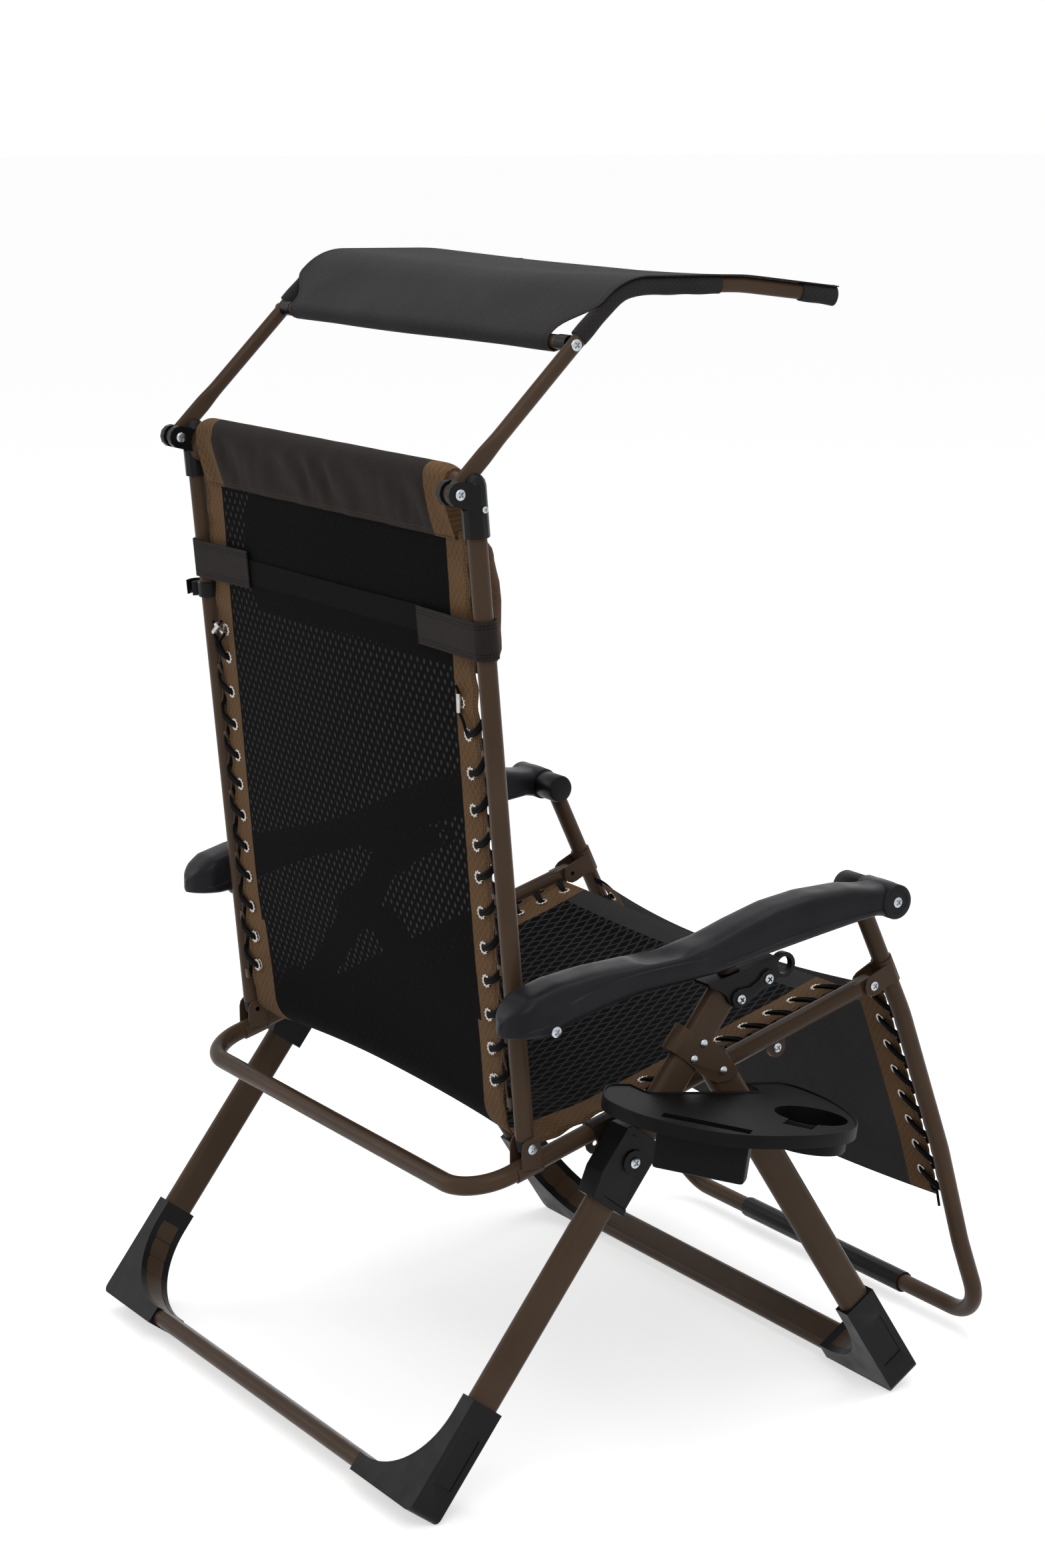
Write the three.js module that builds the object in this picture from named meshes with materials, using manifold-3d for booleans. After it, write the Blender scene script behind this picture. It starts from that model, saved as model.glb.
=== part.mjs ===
// Folding lounge chair with a laced sling, linked arms, a swing canopy and a clip-on side tray.
// Millimetres, +Z up, the sitter faces -Y, the right side is -X.
import * as THREE from 'three';
import { mergeGeometries, mergeVertices } from 'three/addons/utils/BufferGeometryUtils.js';
import Module from 'manifold-3d';

const wasm = await Module();
wasm.setup();

// Counts and angles
const right = -1;
const left = 1;
const bothSides = [right, left];
const sideNames = { [right]: 'right', [left]: 'left' };
const axes = 3;
const half = 0.5;
const roundSides = 12;
const legHoleSides = 12;
const boreSides = 12;
const eyeletSides = 6;
const pinSides = 8;
const cordSides = 5;
const archSteps = 4;
const roundSteps = 9;
const bendStep = THREE.MathUtils.degToRad(15);
const quarterTurn = Math.PI / 2;
const weld = 0.0001;
const overlap = 1;

// Fit between pieces
const seam = 0.3;
const slip = 0.6;
const cutReach = 60;

// Tube stock
const tubeRadius = 11;
const tubeWall = 1.2;
const legThick = 20;
const legWide = 41;
const legWall = 1.2;

// Side planes of the frames
const slingHalf = 323;
const legStep = 50;
const legHalf = slingHalf + legStep;
const armHalf = legHalf;

// Pivots seen from the side, as distance back and height
const seatPivot = [-102.5, 376];
const backPivot = [0, 396];
const kneePivot = [-490, 506];
const armRear = [12, 553];
const armFront = [-467, 628];
const foldPivot = [-229, 461];
const canopyPivot = [89, 1140];

// Rear leg, with the post that carries on above the seat pivot
const rearFootBack = 170;
const rearBarHeight = 23.9;
const legBendRadius = 105;
const postTop = 574;
const pivotWeb = 10;

// Front leg
const frontFootBack = -507;
const frontBarHeight = 22.9;
const frontLegPast = 14;
const legPlugThick = 2.2;
const legPlugDepth = 12;

// Feet
const footWall = 2.5;
const footLegReach = 128;
const footBarReach = 118;
const footCorner = 9;
const footPanelDeep = 1;
const footPanelEdge = 9;

// Leg joint moulding
const jointWall = 5;
const jointBelow = 58;
const jointAbove = 34;
const jointFront = 25;
const jointBack = 33;
const jointRound = 6;
const jointPocket = [7, 44];
const jointPocketHalf = 9;
const jointBossRadius = 15;
const jointBossRise = 3;

// Bracket that joins the front leg to the post
const bracketSheet = 1.8;
const sleeveLow = [-156, 497];
const sleeveLong = 32;
const tabOutline = [
  [-192, 510], [-172, 485], [-196, 464], [-206, 455], [-222, 447], [-240, 447], [-252, 455],
  [-240, 473], [-219, 495],
];
const sleeveRivets = [[-201, 498], [-187.5, 481.5]];
const rivetRadius = 4.6;
const rivetRise = 3;
const screwRadius = 5.6;
const screwRise = 2.6;
const pinRadius = 3;
const headBrimShare = 0.4;
const headCrownShare = 0.6;

// Lock housing under each arm
const housingOutline = [
  [-204, 568], [-208, 563], [-221, 557], [-230, 550], [-235, 541], [-241, 535], [-249, 532],
  [-257, 536], [-266, 543], [-284, 549], [-297, 553], [-303, 560], [-303, 585],
];
const housingInner = legHalf - 15;
const housingOuter = legHalf + 16;
const housingWall = 4;
const linkOutline = [
  [-236, 545], [-239, 552], [-246, 556], [-262, 556], [-274, 562], [-280, 569], [-288, 573],
  [-296, 570], [-299, 561], [-294, 554], [-278, 549], [-264, 541], [-256, 535], [-248, 533], [-240, 536],
];
const linkThick = 3;
const linkScrews = [[-248.5, 543.5], [-288, 561.5]];

// Pull ring that frees the lock
const ringCentre = [-322, 569];
const ringOuter = 15.5;
const ringInner = 10.5;
const ringThick = 9;
const ringStem = 10;
const ringRoomSpan = [8, 54];
const ringRoomDrop = 17;

// Side tray, in its own plane: across the chair and forward along the tray
const trayRest = [-145.5, 448];
const trayTilt = THREE.MathUtils.degToRad(10);
const trayPlate = 3;
const trayRim = 16;
const trayRimThick = 2.5;
const trayLip = 2;
const trayOutline = [
  [347, 9], [346, -42], [352, -56], [372, -75], [405, -95], [440, -100], [478, -94], [520, -70], [548, -40],
  [561, -8], [566, 30], [565, 80], [556, 125], [538, 158], [510, 183], [474, 200], [420, 214], [370, 213],
  [350, 205], [344, 192], [347, 155],
];
const notchSpan = [-19, 143.8];
const notchRound = 8;
const cupCentre = [482, 138];
const cupRadius = 42;
const cupDeep = 36;
const cupWall = 2;
const handleSlot = [26, 34];
const phoneCentre = [520, -36];
const phoneTurn = THREE.MathUtils.degToRad(-40);
const handleTurn = THREE.MathUtils.degToRad(38);
const phoneLong = 104;
const phoneWide = 24;
const phoneDeep = 58;

// Seat rail
const railSlope = 0.2743;
const seatBarBack = 73.7;
const seatBarHeight = 351.4;
const seatBend = 56;
const railFrontGap = 5;
const tongueHalf = 8;
const tongueRadius = 10;
const railTabBack = -353;
const railTabDrop = 18;
const railTabRadius = 12;
const railTabThick = 3;

// Saddles on the rail
const saddleSheet = 2;
const saddleLong = 34;
const saddleEar = 13;
const backSaddleFront = [-15, 17];

// Back
const backSlope = 0.0859;
const headHeight = 1152;
const headBend = 58;
const backPlugAbove = 9;

// Canopy sockets
const socketLow = 1091;
const socketTop = 1147;
const socketRadius = 14.5;
const earRadius = 14;
const slotHalf = 5;
const slotOutline = [[112, 1100], [83, 1110], [72, 1127], [40, 1145], [40, 1190], [112, 1190]];
const socketScrew = [67, 1114];

// Canopy
const canopyThin = 6.5;
const canopyTall = 9;
const canopyElbow = [-128, 1349];
const canopyCrown = [-285, 1345];
const canopyTip = [-411, 1328];
const canopyElbowRadius = 70;
const canopyCrownRadius = 260;
const bladeLong = 58;
const bladeFade = 26;
const bladeThinShare = 0.6;
const bladeTallShare = 1.2;
const canopyBarAlong = [-65, 1290];
const canopyBarRadius = 8;
const canopyBarPlug = 14;
const canopyBarPlugLong = 20;
const clothThick = 2.4;
const clothLift = 1;
const hemRadius = 11.5;
const clothHemHalf = 288;
const clothTipPast = 8;
const clothWindow = [-366, -262, 30];

// Sling panels
const panelThick = 2.4;
const backPanelHalf = 292;
const seatPanelHalf = 284;
const legPanelHalf = 288;
const backPanelSpan = [440, 1087];
const seatPanelFront = -470;
const legPanelSpan = [62, 386];
const backDip = -8;
const seatDip = 16;
const lapTop = [11, 436.5];
const lapBend = 50;
const lapDipShare = -0.75;
const lapDipSpan = [-50, -130];
const legDip = 12;
const eyeletHole = 3.9;
const eyeletToolShare = 4;
const backRow = { first: 470, pitch: 39, count: 10, inset: 279 };
const seatRow = { first: -452, pitch: 36.5, count: 9, inset: 272 };
const legRow = { first: 95, pitch: 37, count: 8, inset: 277 };
const cordRadius = 3;
const laceShare = 0.3;

// Head sleeve, pillow and strap
const sleeveHalf = 288;
const sleeveCloth = 3;
const sleeveDrop = 78;
const pillowHalf = 235;
const pillowLow = 905;
const pillowHigh = 1065;
const pillowDeep = 70;
const pillowGap = -6.6;
const pillowCornerPower = 0.8;
const pillowCrownPower = 0.75;
const pillowEndShare = 0.35;
const pillowEarShare = 0.1;
const pillowTuckShare = 0.06;
const pillowEndPower = 4;
const pillowTuckPower = 6;
const strapTall = 58;
const strapThick = 2;
const strapGap = 1.2;
const clipBelowPivot = 192;
const clipHeight = canopyPivot[1] - clipBelowPivot;
const clipWall = 3;
const clipTall = 18;
const clipJawRadius = 9.5;
const clipMouthShare = 0.7;
const jawMouthShare = 0.75;
const strapAboveClip = 5;
const strapLow = clipHeight + clipTall * half + strapAboveClip;
const strapHigh = strapLow + strapTall;

// Leg rest
const kneeBend = [-545, 461];
const shinBend = [-613, 272];
const calfBend = [-650, 143];
const heelBar = [-692, 27];
const kneeBendRadius = 240;
const heelBendRadius = 62;
const gripHalf = 168;
const gripThick = 3;
const knuckleRadius = 15;
const knuckleLong = 36;
const knuckleNeck = 26;
const clampLong = 34;
const clampSheet = 2;

// Arms
const thumbRadius = 46;
const thumbWide = 30;
const thumbDeep = 5;
const armRoof = 7;
const armHubRadius = 9;
const thumbPlace = -118;
const armWall = 3.5;
const armRearSolid = -20;
const armFrontSolid = -440;
const armWidth = 58;
const armInset = 3;
const armTop = [
  [66, 566], [57, 583], [38, 594], [0, 603], [-50, 608], [-110, 609], [-160, 610], [-205, 619],
  [-250, 633], [-300, 646], [-350, 652], [-410, 653.5], [-455, 652], [-478, 645],
];
const armNose = [[-488, 632], [-486, 619], [-476, 610], [-462, 609]];
const armUnder = [
  [-440, 614], [-400, 608], [-292, 592.5], [-205, 580], [-150, 577], [-102, 574], [-55, 565], [-10, 551],
  [10, 542], [30, 540], [50, 545], [64, 554],
];

const paint = new THREE.MeshStandardMaterial({ color: 0x463a30, metalness: 0.4, roughness: 0.45 });
const moulding = new THREE.MeshStandardMaterial({ color: 0x161617, roughness: 0.5 });
const zinc = new THREE.MeshStandardMaterial({ color: 0xc9ccd0, metalness: 1, roughness: 0.25 });
const mesh = new THREE.MeshStandardMaterial({ color: 0x121214, roughness: 0.9 });
const charcoal = new THREE.MeshStandardMaterial({ color: 0x2e2b28, roughness: 0.9 });
const tan = new THREE.MeshStandardMaterial({ color: 0x5c4028, roughness: 0.9 });
const elastic = new THREE.MeshStandardMaterial({ color: 0x0c0c0d, roughness: 0.8 });

// A point in space from a sideways place and a side-view point
function at(x, [back, up]) {
  return new THREE.Vector3(x, back, up);
}

function along([back, up], direction, distance) {
  return [back + direction[0] * distance, up + direction[1] * distance];
}

function unit(from, to) {
  const run = Math.hypot(to[0] - from[0], to[1] - from[1]);
  return [(to[0] - from[0]) / run, (to[1] - from[1]) / run];
}

// Directions that several pieces share
const rearFoot = [rearFootBack, rearBarHeight];
const rearUp = unit(rearFoot, seatPivot);
const rearSquare = [rearUp[1], -rearUp[0]];
const frontFoot = [frontFootBack, frontBarHeight];
const frontUp = unit(frontFoot, foldPivot);
const frontSquare = [frontUp[1], -frontUp[0]];
const railUp = unit([0, 0], [-1, railSlope]);
const backUp = unit([0, 0], [backSlope, 1]);

function railAt(back) {
  return [back, seatBarHeight + (seatBarBack - back) * railSlope];
}

function backAt(up) {
  return [backPivot[0] + (up - backPivot[1]) * backSlope, up];
}

function legBetween(foot, up, height) {
  return along(foot, up, (height - foot[1]) / up[1]);
}

// Closed path sections
function ovalPoints(thin, wide, sides, turn = 0) {
  const points = [];
  for (let i = 0; i < sides; i += 1) {
    const angle = (i + half) / sides * Math.PI * 2 + turn;
    const bulge = Math.sin(angle) > 0 ? wide - thin : thin - wide;
    points.push(new THREE.Vector2(Math.cos(angle) * thin, Math.sin(angle) * thin + bulge));
  }
  return points;
}

function pipeSection(thin, wide, wall, sides, holeSides) {
  const section = new THREE.Shape(ovalPoints(thin, wide, sides));
  if (wall > 0) {
    section.holes.push(new THREE.Path(ovalPoints(thin - wall, wide - wall, holeSides)));
  }
  return section;
}

// Rings of a path with straight runs and true bends
function bentRings(points, radii, step = bendStep) {
  const rings = [];
  const first = points[1].clone().sub(points[0]).normalize();
  rings.push({ point: points[0], tangent: first });
  for (let i = 1; i < points.length - 1; i += 1) {
    const into = points[i].clone().sub(points[i - 1]).normalize();
    const out = points[i + 1].clone().sub(points[i]).normalize();
    const turn = into.angleTo(out);
    const radius = radii[i - 1];
    const lead = radius * Math.tan(turn * half);
    const inward = out.clone().addScaledVector(into, -into.dot(out)).normalize();
    const start = points[i].clone().addScaledVector(into, -lead);
    const centre = start.clone().addScaledVector(inward, radius);
    const count = Math.max(1, Math.ceil(turn / step));
    for (let k = 0; k <= count; k += 1) {
      const angle = turn * k / count;
      const point = centre.clone().addScaledVector(inward, -radius * Math.cos(angle));
      point.addScaledVector(into, radius * Math.sin(angle));
      const tangent = into.clone().multiplyScalar(Math.cos(angle)).addScaledVector(inward, Math.sin(angle));
      rings.push({ point, tangent });
    }
  }
  const last = points[points.length - 1];
  rings.push({ point: last, tangent: last.clone().sub(points[points.length - 2]).normalize() });
  return rings;
}

class RingPath extends THREE.Curve {
  constructor(rings, across) {
    super();
    this.rings = rings;
    this.across = across;
  }

  getPoint(share) {
    return this.rings[Math.round(share * (this.rings.length - 1))].point.clone();
  }

  getPointAt(share) {
    return this.getPoint(share);
  }

  getSpacedPoints() {
    return this.rings.map((ring) => ring.point.clone());
  }

  computeFrenetFrames() {
    const frames = { tangents: [], normals: [], binormals: [] };
    this.rings.forEach(({ tangent }) => {
      const binormal = this.across.clone().addScaledVector(tangent, -this.across.dot(tangent)).normalize();
      frames.tangents.push(tangent.clone());
      frames.binormals.push(binormal);
      frames.normals.push(binormal.clone().cross(tangent).normalize());
    });
    return frames;
  }
}

function sweep(section, rings, across) {
  const path = new RingPath(rings, across);
  return new THREE.ExtrudeGeometry(section, { steps: rings.length - 1, extrudePath: path });
}

// Solid bodies for joining and cutting
function toSolid(geometry) {
  const bare = geometry.clone();
  bare.deleteAttribute('normal');
  bare.deleteAttribute('uv');
  const welded = mergeVertices(bare, weld);
  const vertProperties = Float32Array.from(welded.attributes.position.array);
  const triVerts = Uint32Array.from(welded.index.array);
  return new wasm.Manifold(new wasm.Mesh({ numProp: axes, vertProperties, triVerts }));
}

function fromSolid(solid) {
  const result = solid.getMesh();
  const geometry = new THREE.BufferGeometry();
  geometry.setAttribute(
    'position',
    new THREE.BufferAttribute(Float32Array.from(result.vertProperties), axes),
  );
  geometry.setIndex(new THREE.BufferAttribute(Uint32Array.from(result.triVerts), 1));
  const flat = geometry.toNonIndexed();
  flat.computeVertexNormals();
  return flat;
}

function join(...parts) {
  return parts.map(toSolid).reduce((all, one) => all.add(one));
}

function joined(...parts) {
  return fromSolid(join(...parts));
}

function cut(body, ...tools) {
  return fromSolid(tools.map(toSolid).reduce((all, one) => all.subtract(one), join(body)));
}

function together(parts) {
  return mergeGeometries(parts.map((part) => {
    const flat = part.index ? part.toNonIndexed() : part.clone();
    flat.deleteAttribute('uv');
    return flat;
  }));
}

// A plate drawn in side view, from one sideways place to another
function sidePlate(outline, from, to, bevel = 0) {
  const shape = new THREE.Shape(outline.map(([back, up]) => new THREE.Vector2(back, up)));
  return sideShape(shape, from, to, bevel);
}

function sideShape(shape, from, to, bevel = 0, curveSegments = 6) {
  const low = Math.min(from, to) + bevel;
  const settings = { depth: Math.abs(to - from) - bevel - bevel, curveSegments, bevelEnabled: bevel > 0 };
  settings.bevelThickness = bevel;
  settings.bevelSize = bevel;
  settings.bevelOffset = -bevel;
  settings.bevelSegments = 2;
  const geometry = new THREE.ExtrudeGeometry(shape, settings);
  const basis = new THREE.Matrix4().makeBasis(
    new THREE.Vector3(0, 1, 0),
    new THREE.Vector3(0, 0, 1),
    new THREE.Vector3(1, 0, 0),
  );
  geometry.applyMatrix4(basis);
  geometry.translate(low, 0, 0);
  return geometry;
}

function circleShape([back, up], radius) {
  const shape = new THREE.Shape();
  shape.absarc(back, up, radius, 0, Math.PI * 2);
  return shape;
}

// A round bar across the chair
function crossPin([back, up], radius, from, to, sides = pinSides) {
  const pin = new THREE.CylinderGeometry(radius, radius, Math.abs(to - from), sides);
  pin.rotateZ(quarterTurn);
  pin.translate((from + to) * half, back, up);
  return pin;
}

// A domed head that faces away from the chair
function head(side, x, [back, up], radius, rise, shank = 0) {
  const brim = rise * headBrimShare;
  const crown = radius * headCrownShare;
  const profile = [[0, 0], [radius, 0], [radius, brim], [crown, rise], [0, rise]];
  if (shank > 0) {
    profile.splice(0, 1, [0, -shank], [pinRadius, -shank], [pinRadius, 0]);
  }
  const dome = new THREE.LatheGeometry(profile.map(([r, h]) => new THREE.Vector2(r, h)), pinSides);
  dome.rotateZ(-quarterTurn * side);
  dome.translate(side * x, back, up);
  return dome;
}

function slantBox(centre, direction, long, wide, from, to) {
  const across = [direction[1], -direction[0]];
  const corners = [[-1, -1], [1, -1], [1, 1], [-1, 1]].map(([u, v]) => [
    centre[0] + direction[0] * long * half * u + across[0] * wide * half * v,
    centre[1] + direction[1] * long * half * u + across[1] * wide * half * v,
  ]);
  return sidePlate(corners.reverse(), from, to);
}

function addMesh(group, name, geometry, material) {
  const piece = new THREE.Mesh(geometry, material);
  piece.name = name;
  group.add(piece);
  return piece;
}

// A leg loop: down one side, along the floor and up the other side
function legLoop(foot, up, topAlong, section) {
  const top = along(foot, up, topAlong);
  const square = new THREE.Vector3(0, up[1], -up[0]);
  const points = [at(-legHalf, top), at(-legHalf, foot), at(legHalf, foot), at(legHalf, top)];
  return sweep(section, bentRings(points, [legBendRadius, legBendRadius]), square);
}

function legSection(grow = 0, wall = legWall) {
  const thin = legThick * half + grow;
  const wide = legWide * half + grow;
  return pipeSection(thin, wide, wall, roundSides, legHoleSides);
}

// A moulded foot: an L-shaped channel that hides the bend of the loop
function legFoot(side, foot, up, topAlong) {
  const outer = legThick * half + footWall;
  const inner = legThick * half;
  const tangentPlace = legBendRadius;
  const shape = new THREE.Shape();
  shape.moveTo(footBarReach, -outer);
  shape.lineTo(footBarReach, inner);
  shape.lineTo(tangentPlace, inner);
  shape.absarc(tangentPlace, tangentPlace, tangentPlace - inner, -quarterTurn, -Math.PI, true);
  shape.lineTo(inner, footLegReach);
  shape.lineTo(-outer, footLegReach);
  shape.lineTo(-outer, footCorner - outer);
  shape.absarc(footCorner - outer, footCorner - outer, footCorner, Math.PI, Math.PI + quarterTurn);
  const wide = legWide + footWall * 2;
  const body = new THREE.ExtrudeGeometry(shape, { depth: wide, bevelEnabled: false, curveSegments: roundSteps });
  body.translate(0, 0, -wide * half);
  const panelLong = footLegReach * half;
  const panel = new THREE.BoxGeometry(footPanelDeep * 2, panelLong, wide - footPanelEdge * 2);
  panel.translate(-outer, footLegReach * half - footCorner * half, 0);
  const inward = new THREE.Vector3(-side, 0, 0);
  const upward = new THREE.Vector3(0, up[0], up[1]);
  const place = new THREE.Matrix4().makeBasis(inward, upward, inward.clone().cross(upward));
  place.setPosition(at(side * legHalf, foot));
  body.applyMatrix4(place);
  panel.applyMatrix4(place);
  return cut(body, legLoop(foot, up, topAlong, legSection(seam, 0)), panel);
}

const rearTopAlong = (seatPivot[1] - rearFoot[1]) / rearUp[1] - pivotWeb;
const postLow = along(seatPivot, rearUp, pivotWeb);
const postHigh = legBetween(seatPivot, rearUp, postTop);
const postLong = Math.hypot(postHigh[0] - postLow[0], postHigh[1] - postLow[1]);

function post(side, section = legSection(), stretch = 0) {
  const low = along(postLow, rearUp, -stretch);
  const high = along(postHigh, rearUp, stretch);
  const square = new THREE.Vector3(0, rearUp[1], -rearUp[0]);
  return sweep(section, bentRings([at(side * legHalf, low), at(side * legHalf, high)], []), square);
}

// The black moulding at the seat pivot: sockets for loop and post, an open pocket and a boss
function legJoint(side) {
  const from = side * (legHalf - legThick * half - jointWall);
  const to = side * (legHalf + legThick * half + jointWall);
  const spots = [
    [-jointBelow, -jointFront], [jointAbove, -jointFront], [jointAbove, jointBack - jointRound],
    [jointAbove - jointRound, jointBack], [-jointBelow * half, jointBack], [-jointBelow, jointFront],
  ];
  const outline = spots.map(([u, v]) => along(along(seatPivot, rearUp, u), rearSquare, v));
  const body = sidePlate(outline, from, to);
  const boss = crossPin(
    seatPivot,
    jointBossRadius,
    to - side * overlap,
    to + side * jointBossRise,
    roundSides,
  );
  const hub = crossPin(
    seatPivot,
    jointBossRadius,
    side * (slingHalf + tubeRadius + saddleSheet + slip),
    from + side * overlap,
    roundSides,
  );
  const pocketFoot = along(
    along(seatPivot, rearUp, jointPocket[0] + jointPocket[1] * half),
    rearSquare,
    legWide * half + jointWall * half,
  );
  const pocket = slantBox(
    pocketFoot,
    rearUp,
    jointPocket[1],
    jointPocketHalf,
    from + side * jointWall * half,
    to - side * jointWall,
  );
  const bore = crossPin(seatPivot, pinRadius + seam, from - side * cutReach, to + side * cutReach);
  const loop = legLoop(rearFoot, rearUp, rearTopAlong + seam, legSection(seam, 0));
  const stub = post(side, legSection(seam, 0), seam);
  return cut(joined(body, boss, hub), loop, stub, pocket, bore);
}

// Sheet bracket: a sleeve round the post that runs on into a tab over the front leg
function crossBracket(side) {
  const wide = legWide + (bracketSheet + seam) * 2;
  const centre = along(along(sleeveLow, rearUp, sleeveLong * half), rearSquare, -legWide * half);
  const thin = legThick * half + bracketSheet + seam;
  const low = along(centre, rearUp, -sleeveLong * half);
  const high = along(centre, rearUp, sleeveLong * half);
  const square = new THREE.Vector3(0, rearUp[1], -rearUp[0]);
  const wrap = sweep(
    pipeSection(thin, wide * half, 0, roundSides, roundSides),
    bentRings([at(side * legHalf, low), at(side * legHalf, high)], []),
    square,
  );
  const face = legHalf + legThick * half + seam;
  const tab = sidePlate(tabOutline, side * face, side * (face + bracketSheet));
  const sheet = cut(joined(wrap, tab), post(side, legSection(seam, 0)));
  const outside = face + bracketSheet;
  const heads = sleeveRivets.map((spot) => head(side, outside - seam, spot, rivetRadius, rivetRise));
  heads.push(head(side, outside - seam, foldPivot, rivetRadius, rivetRise, bracketSheet + legThick));
  return joined(sheet, ...heads);
}

// Housing with a hollow underside that takes the top of the post, and the dog-bone link on its face
function lockHousing(side) {
  const block = sidePlate(housingOutline, side * housingInner, side * housingOuter);
  const link = sidePlate(
    linkOutline.slice().reverse(),
    side * (housingOuter - overlap),
    side * (housingOuter + linkThick),
  );
  const hollow = post(side, legSection(seam, 0), seam);
  const low = [ringCentre[0] - ringRoomSpan[0], ringCentre[1] - ringRoomDrop];
  const high = [ringCentre[0] + ringRoomSpan[1], postTop];
  const ringRoom = sidePlate(
    [[low[0], low[1]], [high[0], low[1]], [high[0], high[1]], [low[0], high[1]]],
    side * (armHalf - ringThick * half - slip),
    side * (armHalf + ringThick * half + slip),
  );
  const screws = linkScrews.map((spot) => head(
    side,
    housingOuter + linkThick - seam,
    spot,
    screwRadius,
    screwRise,
  ));
  return joined(cut(joined(block, link), hollow, ringRoom), ...screws);
}

function lockRing(side) {
  const shape = circleShape(ringCentre, ringOuter);
  const hole = new THREE.Path();
  hole.absarc(ringCentre[0], ringCentre[1], ringInner, 0, Math.PI * 2, true);
  shape.holes.push(hole);
  const from = side * (armHalf - ringThick * half);
  const to = side * (armHalf + ringThick * half);
  const ring = sideShape(shape, from, to, 0, roundSteps);
  const stemCentre = [ringCentre[0] + ringOuter + ringStem, ringCentre[1] - ringStem * half];
  const stem = slantBox(stemCentre, [1, 0], ringStem * 2 + ringOuter, ringStem, from, to);
  return fromSolid(toSolid(ring).add(toSolid(stem).subtract(toSolid(crossPin(
    ringCentre,
    ringInner,
    from * 2,
    to * 2,
  )))));
}

// Side tray in its own plane, then leaned with its rest line
function trayShape(inset) {
  const flat = trayOutline.map(([x, s]) => new THREE.Vector2(-x, -s));
  const centre = flat.reduce((sum, one) => sum.add(one), new THREE.Vector2()).divideScalar(flat.length);
  const moved = flat.map((one) => {
    const reach = one.clone().sub(centre);
    return centre.clone().addScaledVector(reach, 1 - inset / reach.length());
  });
  return new THREE.Shape(moved);
}

function flatPlate(shape, low, high, curveSegments = roundSteps) {
  const plate = new THREE.ExtrudeGeometry(shape, { depth: high - low, bevelEnabled: false, curveSegments });
  plate.translate(0, 0, low);
  return plate;
}

function boxShape(centre, turn, long, wide) {
  const corners = [[-1, -1], [1, -1], [1, 1], [-1, 1]];
  return new THREE.Shape(corners.map(([u, v]) => {
    const spot = new THREE.Vector2(
      u * wide * half,
      v * long * half,
    ).rotateAround(new THREE.Vector2(), turn);
    return new THREE.Vector2(-centre[0], -centre[1]).add(spot);
  }));
}

function circleFlat(centre, radius) {
  const shape = new THREE.Shape();
  shape.absarc(-centre[0], -centre[1], radius, 0, Math.PI * 2);
  return shape;
}

function sideTray() {
  const rim = flatPlate(trayShape(0), trayPlate - trayRim, trayLip);
  const rimHollow = flatPlate(trayShape(trayRimThick), -trayRim - overlap, trayLip - trayPlate - trayLip);
  const topHollow = flatPlate(trayShape(trayRimThick), 0, trayLip + overlap);
  const cup = flatPlate(circleFlat(cupCentre, cupRadius + cupWall), -cupDeep, -overlap);
  const cupHollow = flatPlate(circleFlat(cupCentre, cupRadius), -cupDeep + cupWall, overlap * 2);
  const handle = new THREE.Vector2(0, -cupRadius).rotateAround(new THREE.Vector2(), handleTurn);
  const handleCut = flatPlate(
    boxShape(
      [cupCentre[0] + handle.x, cupCentre[1] + handle.y],
      handleTurn,
      handleSlot[0] * 2,
      handleSlot[1],
    ),
    -trayPlate - overlap,
    overlap * 2,
  );
  const box = flatPlate(
    boxShape(phoneCentre, phoneTurn, phoneLong + cupWall * 2, phoneWide + cupWall * 2),
    -phoneDeep,
    -overlap,
  );
  const boxHollow = flatPlate(
    boxShape(phoneCentre, phoneTurn, phoneLong, phoneWide),
    -phoneDeep + cupWall,
    overlap * 2,
  );
  const notch = new THREE.Shape();
  const floor = -(legHalf + legThick * half + seam);
  notch.moveTo(floor, -notchSpan[0] - notchRound);
  notch.lineTo(floor, notchRound - notchSpan[1]);
  notch.lineTo(floor + notchRound, -notchSpan[1]);
  notch.lineTo(-seatPanelHalf, -notchSpan[1]);
  notch.lineTo(-seatPanelHalf, -notchSpan[0]);
  notch.lineTo(floor + notchRound, -notchSpan[0]);
  const notchCut = flatPlate(notch, -trayRim * 2, trayRim);
  const shell = toSolid(rim).subtract(toSolid(rimHollow)).subtract(toSolid(topHollow));
  const bins = toSolid(cup).add(toSolid(box));
  return fromSolid(shell.add(bins).subtract(toSolid(cupHollow)).subtract(toSolid(boxHollow))
    .subtract(toSolid(handleCut)).subtract(toSolid(notchCut)));
}

function buildBase() {
  const group = new THREE.Group();
  group.name = 'base';
  addMesh(group, 'rear_leg_frame', legLoop(rearFoot, rearUp, rearTopAlong, legSection()), paint);
  bothSides.forEach((side) => {
    const name = sideNames[side];
    addMesh(group, `rear_foot_${name}`, legFoot(side, rearFoot, rearUp, rearTopAlong), moulding);
    addMesh(group, `post_${name}`, post(side), paint);
    addMesh(group, `leg_joint_${name}`, legJoint(side), moulding);
    addMesh(group, `cross_bracket_${name}`, crossBracket(side), paint);
    addMesh(group, `lock_housing_${name}`, lockHousing(side), moulding);
    const face = legHalf + legThick * half + jointWall + jointBossRise + seam;
    const shank = face - slingHalf - tubeRadius - saddleSheet;
    addMesh(
      group,
      `seat_pivot_bolt_${name}`,
      head(side, face, seatPivot, screwRadius, screwRise, shank),
      zinc,
    );
  });
  const tray = addMesh(group, 'side_tray', sideTray(), moulding);
  tray.position.set(0, trayRest[0], trayRest[1]);
  tray.rotation.x = trayTilt;
  return group;
}

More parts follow.
